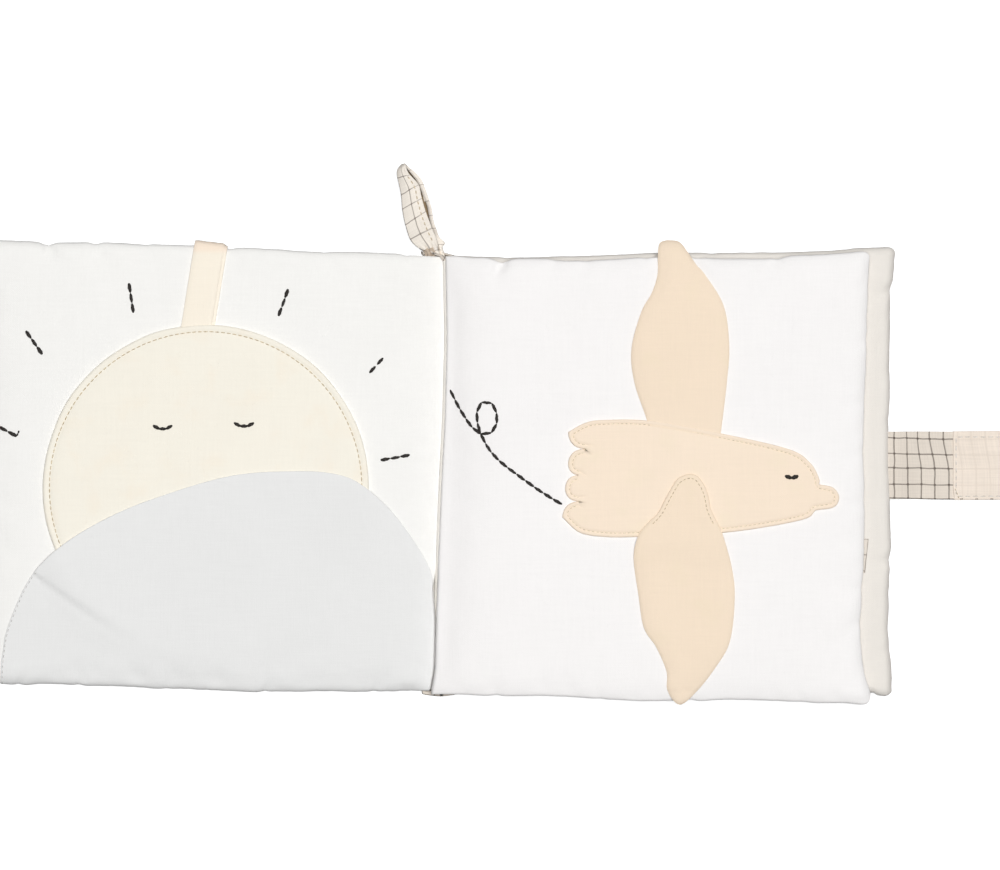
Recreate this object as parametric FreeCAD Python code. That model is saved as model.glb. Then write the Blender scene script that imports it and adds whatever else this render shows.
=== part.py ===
"""Soft cloth book, lying open and flat at its first spread.

The left half is the front cover, whose inner face carries a sun in a hill-shaped pocket.
The right half is one padded page with a bird, on the back cover. Millimetres, +Z up.
X runs from the spine to the right, Y towards the head of the book. The origin is the middle
of the spine cloth's underside, on the surface that the book lies on.
"""
import FreeCAD, Part
import math
import os

V = FreeCAD.Vector
UP = V(0, 0, 1)

# Leaves: two covers and one page
cover_width = 202.0
page_setback = 12.5         # of the page's fore-edge, which climbs over the leaf under it
cover_thickness = 8.0
page_thickness = 7.3
spine_height = 194.0        # every leaf is gathered to this height at the spine
front_fore_height = 198.0
back_fore_height = 199.4
page_fore_height = 201.0
front_fore_rise = 5.0       # how far each fore-edge's middle sits off the spine's middle
back_fore_rise = 1.5
page_fore_rise = -1.8
page_spine_rise = -1.8      # the same for the page's spine seam
spine_gap = 3.0             # between the two halves at the spine seams
seam_height = 3.8           # of a cover's spine seam above the table
seam_thickness = 1.6
spine_taper = 22.0          # over which the padding's upper side rises from the spine seam
under_taper = 40.0          # the same on a cover's underside
edge_round = 3.4            # over which the padding closes at the other edges
corner_radius = 3.0
ripple = 0.5                # waves of the head and tail edges
ripple_length = 83.0
closed_clearance = 0.4      # left between the two halves' pictures when the book is closed
cloth_corner = 2.0          # radius of a cut cloth's corners
outline_tolerance = 0.12    # of an outline's arcs from the curve through its points

# Spine cloth and hanging loop
spine_cloth_width = 28.0
spine_cloth_thickness = 0.5
spine_cloth_overhang = 3.5  # past the leaves at the head and the tail
loop_length = 38.5
loop_tape_width = 12.0
loop_tape_thickness = 1.1
loop_opening = 5.8
loop_lean = 19.5            # degrees to the left of upright
loop_roll = 30.0            # degrees, the open side turned up
loop_start_x = -2.6
loop_lift = 0.1             # of its lowest edge off the table
loop_tail = (8.0, 2.6)      # width and depth of the sewn ends on the spine cloth

# Strap and its fastening tapes
strap_width = 31.0
strap_thickness = 1.2
strap_length = 99.0
strap_inset = 6.0           # sewn in between the cover's two cloths
strap_drop = 15.0           # over which it comes down to the table
strap_y = 4.0
strap_tape_start = 26.8
strap_tape_end_margin = 3.0
strap_tape_thickness = 0.8
cover_tape_size = (45.0, 28.0)
cover_tape_thickness = 0.8
cover_tape_inset = 14.0     # from the front cover's fore-edge

# Patch between the page and the back cover
patch_size = (5.0, 15.2)
patch_thickness = 0.5
patch_show = 0.9            # past the page's fore-edge
patch_y = -36.6

# Sun, ribbon and hill
sun_radius = 72.8
sun_thickness = 2.2
sun_x = -104.5
sun_y = -6.2
sun_eye_width = 8.3
sun_eye_sag = 1.6
topstitch_inset = 3.1
topstitch_dip = 0.45
topstitch_shoulder = 1.4    # each side of the dip
ribbon_width = 14.8
ribbon_thickness = 1.0
ribbon_offset = -4.2        # of its lower end from the sun's middle
ribbon_lean = 9.0           # degrees to the right of upright
ribbon_tuck = 5.0           # sewn in under the sun's rim
hill_width = 195.0
hill_height = 95.3
hill_foot = 3.0             # of its left foot above the cover's tail edge
hill_cloth = 0.8
hill_slope = 8.0            # over which the hill's cloth comes down from the sun's rim

# Bird
bird_length = 123.2
bird_height = 52.0
bird_x = 116.1
bird_y = -1.9
bird_thickness = 1.6
wing_thickness = 1.0
upper_wing_length = 90.0
upper_wing_width = 43.5
upper_wing_place = (-9.1, 15.9)     # of its root from the bird's middle
lower_wing_length = 102.7
lower_wing_width = 45.0
lower_wing_place = (-7.4, 1.9)
bird_eye_width = 5.6
bird_eye_sag = 1.0
wing_drop = 8.0             # over which the lower wing comes down from the body to the page
wing_step = 0.4             # past the body's lower edge before it comes down

# Floss stitches
floss_radius = 0.65
floss_pitch = 5.0
floss_fill = 0.94           # of the pitch that a stitch fills

# Outlines, as shares of a length and a width
HILL = [(0.0, 0.0), (0.005, 0.136), (0.019, 0.279), (0.069, 0.5), (0.138, 0.644), (0.229, 0.762),
        (0.344, 0.865), (0.527, 0.977), (0.687, 1.0), (0.779, 0.982), (0.836, 0.925),
        (0.905, 0.794), (0.985, 0.56), (1.0, 0.44)]
BIRD_BACK = [(-0.479, 0.396), (-0.417, 0.475), (-0.348, 0.5), (-0.182, 0.492), (0.072, 0.385),
             (0.315, 0.252), (0.394, 0.135), (0.427, 0.002), (0.427, -0.05)]
BIRD_BEAK = [(0.427, -0.05), (0.478, -0.079), (0.5, -0.162), (0.481, -0.246), (0.416, -0.273)]
BIRD_BELLY = [(0.416, -0.273), (0.36, -0.358), (0.094, -0.462), (-0.229, -0.5), (-0.348, -0.5),
              (-0.438, -0.462), (-0.5, -0.333)]
BIRD_TAIL = [(-0.5, -0.333), (-0.438, -0.196), (-0.49, -0.092), (-0.442, 0.029), (-0.479, 0.131),
             (-0.417, 0.252), (-0.479, 0.396)]
UPPER_WING = [(-0.3, 0.0), (-0.34, 0.108), (-0.469, 0.296), (-0.499, 0.464), (-0.4, 0.645),
              (-0.294, 0.738), (-0.215, 0.83), (-0.208, 0.955), (-0.09, 1.0), (0.064, 0.933),
              (0.26, 0.827), (0.444, 0.676), (0.501, 0.479), (0.476, 0.296), (0.414, 0.046),
              (0.4, 0.0)]
LOWER_WING = [(0.035, 0.0), (-0.06, 0.018), (-0.19, 0.109), (-0.45, 0.257), (-0.5, 0.36),
              (-0.451, 0.526), (-0.398, 0.665), (-0.273, 0.752), (-0.173, 0.856), (-0.164, 0.937),
              (-0.044, 1.0), (0.12, 0.944), (0.302, 0.843), (0.451, 0.725), (0.5, 0.539),
              (0.471, 0.404), (0.378, 0.257), (0.262, 0.15), (0.218, 0.07), (0.13, 0.01)]
# Flight path, from the bird's middle height, as shares of the way from the spine to its tail
FLIGHT_PATH = [(0.073, 0.716), (0.18, 0.543), (0.275, 0.418), (0.367, 0.369), (0.451, 0.417),
               (0.466, 0.543), (0.393, 0.637), (0.323, 0.582), (0.306, 0.477), (0.341, 0.339),
               (0.426, 0.191), (0.532, 0.084), (0.738, -0.055), (0.99, -0.204)]
# Rays: degrees about the sun's middle, distance from its rim, length, stitches
RAYS = [(111.5, 11.6, 12.8, 3), (67.3, 11.0, 12.2, 3), (139.9, 21.7, 11.5, 3),
        (35.7, 16.7, 8.6, 2), (163.9, 14.9, 9.5, 2), (8.8, 6.7, 12.3, 3)]
# Closed eyes, as shares of the sun's radius and of the bird's length and height
SUN_EYES = {"sun_eye_left": (-0.269, 0.365), "sun_eye_right": (0.231, 0.382)}
BIRD_EYE = (0.333, 0.021)

SECTION_COUNT = 5           # of each leaf's sections between its two ends

page_width = cover_width - page_setback
page_top = cover_thickness + page_thickness
body_top = page_top + bird_thickness
hill_top = cover_thickness + sun_thickness + hill_cloth


def rise(distance, taper):
    """Share of its full swell that padding has reached at a distance from its seam."""
    if distance >= taper:
        return 1.0
    if distance <= 0:
        return 0.0
    return math.sqrt(1.0 - (1.0 - distance / taper) ** 2)


class Leaf:
    """A padded leaf, lofted through upright sections from its spine seam to its fore-edge."""

    def __init__(self, side, width, fore_height, fore_rise, spine_rise=0.0, rests_on=None):
        self.side = side
        self.width = width
        self.fore_height = fore_height
        self.fore_rise = fore_rise
        self.spine_rise = spine_rise
        self.rests_on = rests_on
        self.floor = cover_thickness if rests_on else 0.0
        self.ceiling = page_top if rests_on else cover_thickness

    def distances(self):
        """Distances from the spine seam at which the leaf has a section."""
        spine = [spine_taper * share for share in (0.0, 0.06, 0.2, 0.5, 1.0)]
        last = self.width - corner_radius
        step = (last - under_taper) / SECTION_COUNT
        middle = [under_taper + step * k for k in range(SECTION_COUNT)]
        fore = [self.width - corner_radius * share for share in (1.0, 0.5, 0.15, 0.0)]
        return spine + middle + fore

    def heights(self, distance):
        """Underside and upper side of the leaf at a distance from the spine seam."""
        middle = (self.floor + self.ceiling) / 2
        half = (self.ceiling - self.floor) / 2
        closing = rise(self.width - distance, edge_round)
        if closing < 1.0:
            swell = max(half * closing, seam_thickness / 2)
            return middle - swell, middle + swell
        if self.rests_on:
            low = self.rests_on.heights(distance)[1]
            seam_top = self.rests_on.heights(0.0)[1] + seam_thickness
        else:
            low = (seam_height - seam_thickness / 2) * (1.0 - rise(distance, under_taper))
            seam_top = seam_height + seam_thickness / 2
        return low, seam_top + (self.ceiling - seam_top) * rise(distance, spine_taper)

    def edges(self, distance):
        """The tail and head edges' places along Y at a distance from the spine seam."""
        share = distance / self.width
        half = (spine_height + (self.fore_height - spine_height) * share) / 2
        shrink = corner_radius * (1.0 - rise(self.width - distance, corner_radius))
        middle = self.spine_rise + (self.fore_rise - self.spine_rise) * share
        wave = 2 * math.pi * distance / ripple_length
        tail = middle - half + shrink + ripple * math.sin(wave * 1.3 + 1.0)
        head = middle + half - shrink + ripple * math.sin(wave + self.side)
        return tail, head

    def x(self, distance):
        return self.side * (spine_gap / 2 + distance)

    def height_at(self, x):
        """Height of the upper side at x, on the straight run between two sections."""
        distance = abs(x) - spine_gap / 2
        stops = self.distances()
        for near, far in zip(stops, stops[1:]):
            if distance <= far:
                break
        a, b = self.heights(near)[1], self.heights(far)[1]
        return a + (b - a) * (distance - near) / (far - near)

    def section(self, distance, grow, ends):
        """One upright section, grown outwards by a cloth's thickness."""
        low, high = self.heights(distance)
        tail, head = self.edges(distance)
        low, high, tail, head = low - grow, high + grow, tail - grow, head + grow
        x = self.x(distance) + self.side * grow * ends
        bulge = min(edge_round, (high - low) / 2)
        middle = (low + high) / 2
        corners = [V(x, tail + bulge, low), V(x, head - bulge, low),
                   V(x, head - bulge, high), V(x, tail + bulge, high)]
        return Part.Wire([
            Part.LineSegment(corners[0], corners[1]).toShape(),
            Part.Arc(corners[1], V(x, head, middle), corners[2]).toShape(),
            Part.LineSegment(corners[2], corners[3]).toShape(),
            Part.Arc(corners[3], V(x, tail, middle), corners[0]).toShape()])

    def solid(self, grow=0.0):
        stops = self.distances()
        wires = []
        for k, distance in enumerate(stops):
            ends = -1 if k == 0 else 1 if k == len(stops) - 1 else 0
            wires.append(self.section(distance, grow, ends))
        return Part.makeLoft(wires, True, True)


FRONT = Leaf(-1, cover_width, front_fore_height, front_fore_rise)
BACK = Leaf(1, cover_width - spine_gap / 2, back_fore_height, back_fore_rise)
PAGE = Leaf(1, page_width, page_fore_height, page_fore_rise, page_spine_rise, BACK)


def box(size, corner):
    return Part.makeBox(size[0], size[1], size[2], V(*corner))


def rounded_plate(size, corner, radius):
    plate = box(size, corner)
    upright = [e for e in plate.Edges if abs(e.tangentAt(e.FirstParameter).z) > 0.9]
    return plate.makeFillet(radius, upright)


def smooth(points, ends=None):
    """Smooth curve through points that lie in a plane. ends is its direction at both ends."""
    curve = Part.BSplineCurve()
    if ends:
        curve.interpolate(Points=points, InitialTangent=ends, FinalTangent=ends)
    else:
        curve.interpolate(points)
    return curve


def arcs(points, ends=None):
    """The same curve as a chain of arcs."""
    return [arc.toShape() for arc in smooth(points, ends).toBiArcs(outline_tolerance)]


def lines(points):
    return [Part.LineSegment(a, b).toShape() for a, b in zip(points, points[1:])]


def prism(edges, bottom, top):
    """Solid between two heights inside a flat outline drawn at height 0."""
    face = Part.Face(Part.Wire(edges))
    face.translate(V(0, 0, bottom))
    return face.extrude(V(0, 0, top - bottom))


def placed(shares, x, y, width, length):
    return [V(x + u * width, y + v * length, 0) for u, v in shares]


def bent_strip(under, thickness, width):
    """Strip of cloth, level at its two ends and bent down between them by two arcs.

    Its underside goes through four (run, height) points, run on X. Its width is on Y.
    """
    def side(lift):
        first, start, end, last = [V(run, -width / 2, height + lift) for run, height in under]
        fall = start.z - end.z
        radius = ((end.x - start.x) ** 2 + fall ** 2) / (4 * fall)
        turn = 2 * math.atan2(fall, end.x - start.x)
        step = V(radius * math.sin(turn / 2), 0, -radius * (1 - math.cos(turn / 2)))
        middle = (start + end) * 0.5
        return lines([first, start]) + [
            Part.Arc(start, start + step, middle).toShape(),
            Part.Arc(middle, end - step, end).toShape()] + lines([end, last])
    lower, upper = side(0.0), side(thickness)
    corners = [lower[0].Vertexes[0].Point, upper[0].Vertexes[0].Point]
    ends = [V(under[-1][0], -width / 2, under[-1][1] + lift) for lift in (0.0, thickness)]
    outline = Part.Wire(Part.__sortEdges__(lower + upper + lines(corners) + lines(ends)))
    return Part.Face(outline).extrude(V(0, width, 0))


def stitch(middle, along, slope, length):
    """Half a spindle of floss that lies flat on its cloth."""
    rings = []
    for share, swell in ((-0.5, 0.3), (-0.25, 0.8), (0.0, 1.0), (0.25, 0.8), (0.5, 0.3)):
        r = floss_radius * swell
        x = length * share
        rings.append([V(x, -r, 0), V(x, -0.5 * r, 0.87 * r), V(x, 0.5 * r, 0.87 * r), V(x, r, 0)])
    outlines = [rings[0], rings[-1]]
    for a, b in zip(rings, rings[1:]):
        outlines += [[a[k - 1], a[k], b[k], b[k - 1]] for k in range(4)]
    faces = [Part.Face(Part.makePolygon(o + [o[0]])) for o in outlines]
    spindle = Part.Solid(Part.Shell(faces))
    spindle.rotate(V(0, 0, 0), UP, along)
    spindle.rotate(V(0, 0, 0), V(0, 1, 0), slope)
    spindle.translate(middle)
    return spindle


def stitched(points, height_at, count):
    """Stitches end to end along a curve through points, on cloth of a given height."""
    path = smooth([V(x, y, 0) for x, y in points]).toShape()
    marks = path.discretize(count + 1)
    stitches = []
    for a, b in zip(marks, marks[1:]):
        middle = (a + b) * 0.5
        middle.z = height_at(middle.x)
        step = 0.01
        slope = math.degrees(math.atan2(middle.z - height_at(middle.x + step), step))
        along = math.degrees(math.atan2(b.y - a.y, b.x - a.x))
        stitches.append(stitch(middle, along, slope, a.distanceToPoint(b) * floss_fill))
    return stitches


def closed_eye(x, y, height, width, sag):
    arc = [(x - width / 2, y + sag / 2), (x - width / 4, y - sag / 3), (x, y - sag / 2),
           (x + width / 4, y - sag / 3), (x + width / 2, y + sag / 2)]
    count = max(2, round(width / floss_pitch * 1.7))
    return Part.makeCompound(stitched(arc, lambda _: height, count))


def spine_cloth():
    height = spine_height + 2 * spine_cloth_overhang
    size = (spine_cloth_width, height, spine_cloth_thickness)
    return rounded_plate(size, (-spine_cloth_width / 2, -height / 2, 0), cloth_corner)


def hanging_loop():
    """Tape folded end to end: two halves that bow apart and meet at the sewn ends."""
    thick = loop_tape_thickness
    half = loop_opening / 2 + thick
    side = [(0.0, thick), (0.3 * loop_length, 0.72 * half), (0.62 * loop_length, half),
            (0.88 * loop_length, 0.72 * half)]
    outer = [V(0, s, t) for s, t in side] + [V(0, loop_length, 0)]
    outer += [V(0, s, -t) for s, t in reversed(side)]
    inner_start = V(0, 0.14 * loop_length, 0)
    inner = [inner_start] + [V(0, s, t - thick) for s, t in side[1:3]]
    inner += [V(0, 0.86 * loop_length, 0.7 * half - thick), V(0, loop_length - thick, 0)]
    inner += [V(0, p.y, -p.z) for p in reversed(inner[1:-1])] + [inner_start]
    outline = Part.Wire(arcs(outer) + lines([outer[-1], outer[0]]))
    band = Part.Face(outline).cut(Part.Face(Part.Wire(arcs(inner))))
    loop = band.extrude(V(loop_tape_width, 0, 0))
    loop.translate(V(-loop_tape_width / 2, 0, 0))
    loop.rotate(V(0, 0, 0), V(0, 1, 0), -loop_roll)
    loop.rotate(V(0, 0, 0), UP, loop_lean)
    roll = math.radians(loop_roll)
    lift = loop_tape_width / 2 * math.sin(roll) + half * math.cos(roll) + loop_lift
    tail_width, tail_depth = loop_tail
    start_y = spine_height / 2 + spine_cloth_overhang
    loop.translate(V(loop_start_x, start_y, lift))
    foot = box((tail_width, tail_depth, lift), (loop_start_x - tail_width / 2,
                                                start_y - tail_depth + 0.4,
                                                spine_cloth_thickness))
    return loop.fuse(foot).removeSplitter()


def strap_band():
    fore = spine_gap / 2 + BACK.width
    height = (cover_thickness - strap_thickness) / 2
    under = [(fore - strap_inset, height), (fore + 1.0, height), (fore + strap_drop, 0.0),
             (fore + strap_length, 0.0)]
    strap = bent_strip(under, strap_thickness, strap_width)
    strap.translate(V(0, strap_y, 0))
    return strap


def strap_tape():
    fore = spine_gap / 2 + BACK.width
    length = strap_length - strap_tape_start - strap_tape_end_margin
    corner = (fore + strap_tape_start, strap_y - strap_width / 2, strap_thickness)
    return box((length, strap_width, strap_tape_thickness), corner)


def cover_tape():
    length, width = cover_tape_size
    corner = (FRONT.x(cover_width) + cover_tape_inset, strap_y - width / 2, 0)
    return rounded_plate((length, width, cover_tape_thickness), corner, cloth_corner)


def grid_patch():
    length, width = patch_size
    right = PAGE.x(page_width) + patch_show
    corner = (right - length, patch_y - width / 2, cover_thickness)
    return box((length, width, patch_thickness), corner)


def sun_disc():
    """Two cloths with thin wadding: flat face, stitched dip, puffed rim that closes downwards."""
    rim = sun_radius
    dip = rim - topstitch_inset
    top = sun_thickness
    profile = [V(0, 0, 0), V(0, 0, top), V(dip - topstitch_shoulder, 0, top),
               V(dip, 0, top - topstitch_dip), V(dip + topstitch_shoulder, 0, 0.96 * top),
               V(rim, 0, 0)]
    face = Part.Face(Part.makePolygon(profile + [profile[0]]))
    disc = face.revolve(V(0, 0, 0), UP, 360)
    disc.translate(V(sun_x, sun_y, cover_thickness))
    return disc


def sun_ribbon():
    """Ribbon from the cover's head seam, round the edge and down to the sun."""
    lean = math.radians(ribbon_lean)
    x = sun_x + ribbon_offset
    start = math.sqrt(sun_radius ** 2 - ribbon_offset ** 2) + sun_y - ribbon_tuck
    head = FRONT.edges(abs(x) - spine_gap / 2)[1]
    run = (head - start) / math.cos(lean) + ribbon_width / 2 * math.tan(lean)
    seam = cover_thickness / 2
    radius = (edge_round ** 2 + seam ** 2) / (2 * edge_round)

    def side(lift):
        bend = V(0, run - radius, seam) + V(0, 1, 1) * ((radius + lift) * math.sqrt(0.5))
        level = V(0, run - edge_round, cover_thickness + lift)
        return V(0, 0, cover_thickness + lift), level, bend, V(0, run + lift, seam)
    under, over = side(0.0), side(ribbon_thickness)
    bends = [Part.Arc(*points[1:]).toShape() for points in (under, over)]
    flats = lines([under[1], under[0], over[0], over[1]]) + lines([over[3], under[3]])
    outline = Part.Wire(Part.__sortEdges__(bends + flats))
    ribbon = Part.Face(outline).extrude(V(ribbon_width, 0, 0))
    ribbon.translate(V(-ribbon_width / 2, 0, 0))
    ribbon.rotate(V(0, 0, 0), UP, -ribbon_lean)
    ribbon.translate(V(x, start, 0))
    return ribbon


def hill_pocket():
    """Cloth that follows the cover and the sun's rim, down to the cover's seams."""
    left = -spine_gap / 2 - hill_width
    arch = placed(HILL, left, hill_foot - spine_height / 2, hill_width, hill_height)
    below = -spine_height
    rest = [arch[-1], V(0, arch[-1].y, 0), V(0, below, 0), V(arch[0].x, below, 0), arch[0]]
    outline = arcs(arch) + lines(rest)
    over_sun = Part.makeCone(sun_radius + hill_slope, sun_radius + hill_cloth,
                             hill_top - cover_thickness, V(sun_x, sun_y, cover_thickness))
    cloth = FRONT.solid(grow=hill_cloth).fuse(over_sun)
    room = Part.makeCylinder(sun_radius, sun_thickness, V(sun_x, sun_y, cover_thickness))
    cloth = cloth.common(prism(outline, cover_thickness / 2, hill_top))
    return cloth.cut([FRONT.solid(), room])


def bird_body():
    parts = [BIRD_BACK, BIRD_BEAK, BIRD_BELLY]
    edges = []
    for shares in parts:
        edges += arcs(placed(shares, bird_x, bird_y, bird_length, bird_height))
    tail = placed(BIRD_TAIL, bird_x, bird_y, bird_length, bird_height)
    for start, end in zip(tail, tail[1:]):
        out = (start + end) * 0.5
        bow = 0.12 * start.distanceToPoint(end)
        out = out + V(-bow, bow if end.x > start.x else -bow, 0)
        edges.append(Part.Arc(start, out, end).toShape())
    return prism(edges, page_top, body_top)


def wing_upper():
    x, y = bird_x + upper_wing_place[0], bird_y + upper_wing_place[1]
    points = placed(UPPER_WING, x, y, upper_wing_width, upper_wing_length)
    edges = arcs(points) + lines([points[-1], points[0]])
    return prism(edges, page_top, page_top + wing_thickness)


def wing_lower():
    """Loose wing, sewn on the body by its arch, that comes down to the page."""
    x, y = bird_x + lower_wing_place[0], bird_y + lower_wing_place[1]
    points = placed(LOWER_WING, x, y, lower_wing_width, -lower_wing_length)
    outline = arcs(points + [points[0]], ends=V(-1, 0, 0))
    flat = prism(outline, page_top, body_top + wing_thickness)
    leave = bird_height / 2 - bird_y + wing_step
    margin = wing_drop
    under = [(-y - margin, body_top), (leave, body_top), (leave + wing_drop, page_top),
             (lower_wing_length - y + margin, page_top)]
    bent = bent_strip(under, wing_thickness, lower_wing_width + 2 * margin)
    bent.rotate(V(0, 0, 0), UP, -90)
    bent.translate(V(x, 0, 0))
    return flat.common(bent)


def ray(angle, gap, length, count):
    direction = V(math.cos(math.radians(angle)), math.sin(math.radians(angle)), 0)
    start = V(sun_x, sun_y, 0) + direction * (sun_radius + gap)
    end = start + direction * length
    points = [(start.x, start.y), (end.x, end.y)]
    return Part.makeCompound(stitched(points, FRONT.height_at, count))


def flight_path():
    reach = bird_x - bird_length / 2
    points = [(u * reach, bird_y + v * reach) for u, v in FLIGHT_PATH]
    length = smooth([V(x, y, 0) for x, y in points]).length()
    stitches = stitched(points, PAGE.height_at, round(length / floss_pitch))
    return stitches[0].multiFuse(stitches[1:])


def build():
    nodes = {}
    nodes["spine_cloth"] = spine_cloth()
    nodes["hanging_loop"] = hanging_loop()
    nodes["strap_band"] = strap_band()
    nodes["strap_tape"] = strap_tape()
    nodes["cover_tape"] = cover_tape()
    nodes["grid_patch"] = grid_patch()
    nodes["front_cover"] = FRONT.solid().cut(nodes["cover_tape"])
    nodes["back_cover"] = BACK.solid().cut(nodes["strap_band"])
    nodes["page"] = PAGE.solid().cut(nodes["grid_patch"])
    nodes["sun_ribbon"] = sun_ribbon()
    nodes["sun_disc"] = sun_disc().cut(nodes["sun_ribbon"])
    nodes["hill_pocket"] = hill_pocket()
    nodes["wing_upper"] = wing_upper()
    nodes["wing_lower"] = wing_lower()
    nodes["bird_body"] = bird_body().cut(nodes["wing_upper"])
    nodes["flight_path"] = flight_path()
    for name, (across, up) in SUN_EYES.items():
        nodes[name] = closed_eye(sun_x + across * sun_radius, sun_y + up * sun_radius,
                                 cover_thickness + sun_thickness, sun_eye_width, sun_eye_sag)
    nodes["bird_eye"] = closed_eye(bird_x + BIRD_EYE[0] * bird_length,
                                   bird_y + BIRD_EYE[1] * bird_height, body_top,
                                   bird_eye_width, bird_eye_sag)
    for number, values in enumerate(RAYS, 1):
        nodes[f"ray_{number}"] = ray(*values)
    return nodes


def hinge_height():
    """The spine's turning axis: the closed halves then meet with a small clearance."""
    return (hill_top + body_top + wing_thickness + closed_clearance) / 2


os.makedirs("parts", exist_ok=True)
for node, shape in build().items():
    shape.exportStep(f"parts/{node}.step")
    print(f"{node}: {len(shape.Solids)} solids, {shape.Volume:.1f} mm3")
print(f"hinge axis at x = 0, z = {hinge_height():.3f}")
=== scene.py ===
"""Cloth book, open flat at its first spread: its soft pieces, materials, light and camera.

Lengths are in millimetres until a piece is made. +Z is up, X runs from the spine to the
right and Y towards the head of the book.
"""
import math
from dataclasses import dataclass

import bpy
import numpy as np
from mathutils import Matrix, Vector
from mathutils.geometry import delaunay_2d_cdt


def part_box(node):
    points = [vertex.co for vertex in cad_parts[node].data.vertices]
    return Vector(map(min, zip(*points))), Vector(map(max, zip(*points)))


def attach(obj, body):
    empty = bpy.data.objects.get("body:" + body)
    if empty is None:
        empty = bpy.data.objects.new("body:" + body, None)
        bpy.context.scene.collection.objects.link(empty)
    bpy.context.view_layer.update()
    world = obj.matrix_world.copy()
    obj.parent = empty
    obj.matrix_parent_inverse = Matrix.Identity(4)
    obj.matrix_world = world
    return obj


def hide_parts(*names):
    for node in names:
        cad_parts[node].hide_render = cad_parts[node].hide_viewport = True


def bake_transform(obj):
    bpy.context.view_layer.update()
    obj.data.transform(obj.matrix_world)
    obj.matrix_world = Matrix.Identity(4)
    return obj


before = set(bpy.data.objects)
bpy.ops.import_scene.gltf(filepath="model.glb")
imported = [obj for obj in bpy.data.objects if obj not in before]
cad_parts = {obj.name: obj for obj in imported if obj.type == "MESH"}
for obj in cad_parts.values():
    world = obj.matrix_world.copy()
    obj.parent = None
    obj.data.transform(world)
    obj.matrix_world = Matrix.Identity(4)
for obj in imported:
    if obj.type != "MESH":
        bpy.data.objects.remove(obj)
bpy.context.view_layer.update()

MM = 0.001
random = np.random.default_rng(7)


def node_box(name):
    low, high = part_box(name)
    return np.array(low) / MM, np.array(high) / MM


# Leaves
SPINE_GAP = 3.0
SPINE_HEIGHT = 194.0
SEAM_HEIGHT = 3.8
SEAM_THICKNESS = 1.6
SPINE_TAPER = 28.0
SPINE_ROLL = 0.6            # the sharp turn at the seam
UNDER_TAPER = 40.0
EDGE_ROLL = 0.8
CORNER_RADIUS = 3.0
CLEAR = 0.05                # between a leaf and the one that it lies on
LOFT = 0.8                  # left for the wadding to fill
RIPPLE = 0.5
RIPPLE_LENGTH = 83.0
COVER_TOP = node_box("front_cover")[1][2]
PAGE_TOP = node_box("page")[1][2]
FORE_EDGE = 202.0           # where the strap leaves the back cover

# Thickness of the plain cloths and tapes
SPINE_THICKNESS = 0.5
STRAP_THICKNESS = 1.1
TAPE_THICKNESS = 0.75
LOOP_THICKNESS = 0.95
RIBBON_THICKNESS = 0.95
PATCH_THICKNESS = 0.45

# Sun and hill
SUN_RADIUS = 72.8
SUN_THICKNESS = 2.2
SUN_INSET = 3.1
SUN_X, SUN_Y = -104.5, -6.2
RIBBON_WIDTH, RIBBON_LEAN, RIBBON_OFFSET = 14.8, 9.0, -4.2
HILL_WIDTH, HILL_HEIGHT, HILL_FOOT = 195.0, 95.3, -94.0
HILL_THICKNESS = 0.8
CREASE_START, CREASE_END = np.array([-181.3, -44.3]), np.array([-145.1, -68.3])
HILL = [(0, 0), (0.005, 0.136), (0.019, 0.279), (0.069, 0.5), (0.138, 0.644), (0.229, 0.762),
    (0.344, 0.865), (0.527, 0.977), (0.687, 1), (0.779, 0.982), (0.836, 0.925), (0.905, 0.794),
    (0.985, 0.56), (1, 0.44)]

# Bird. A wing's place is the middle of its root.
BIRD_X, BIRD_Y = 116.1, -1.9
BIRD_LENGTH, BIRD_HEIGHT, BIRD_THICKNESS = 123.2, 52.0, 1.6
BIRD_SEAM = 1.9
WING_THICKNESS = 1.0
WING_SEAM = 1.8
UPPER_WING_X, UPPER_WING_Y = BIRD_X - 9.1, BIRD_Y + 15.9
LOWER_WING_X, LOWER_WING_Y = BIRD_X - 7.4, BIRD_Y + 1.9
BIRD_OUTLINE = [
    [(-0.479, 0.396), (-0.417, 0.475), (-0.348, 0.5), (-0.182, 0.492), (0.072, 0.385),
     (0.315, 0.252), (0.394, 0.135), (0.427, 0.002), (0.427, -0.05)],
    [(0.427, -0.05), (0.478, -0.079), (0.5, -0.162), (0.481, -0.246), (0.416, -0.273)],
    [(0.416, -0.273), (0.36, -0.358), (0.094, -0.462), (-0.229, -0.5), (-0.348, -0.5),
     (-0.438, -0.462), (-0.5, -0.333)]]
BIRD_TAIL = [(-0.5, -0.333), (-0.438, -0.196), (-0.49, -0.092), (-0.442, 0.029), (-0.479, 0.131),
    (-0.417, 0.252), (-0.479, 0.396)]
UPPER_WING = [(-0.3, 0), (-0.34, 0.108), (-0.469, 0.296), (-0.499, 0.464), (-0.4, 0.645),
    (-0.294, 0.738), (-0.232, 0.83), (-0.228, 0.93), (-0.214, 0.984), (-0.16, 1), (-0.09, 1.002),
    (0, 0.992), (0.086, 0.938), (0.17, 0.878), (0.26, 0.827), (0.444, 0.676), (0.501, 0.479),
    (0.476, 0.296), (0.414, 0.046), (0.4, 0)]
LOWER_WING = [(0.035, 0), (-0.06, 0.018), (-0.111, 0.047), (-0.19, 0.109), (-0.26, 0.166),
    (-0.37, 0.216), (-0.45, 0.262), (-0.5, 0.36), (-0.451, 0.526), (-0.398, 0.665), (-0.273, 0.752),
    (-0.173, 0.856), (-0.164, 0.937), (-0.044, 1), (0.12, 0.944), (0.302, 0.843), (0.451, 0.725),
    (0.5, 0.539), (0.471, 0.404), (0.376, 0.257), (0.31, 0.196), (0.262, 0.15), (0.247, 0.113),
    (0.218, 0.066), (0.173, 0.031), (0.12, 0.006)]

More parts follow.
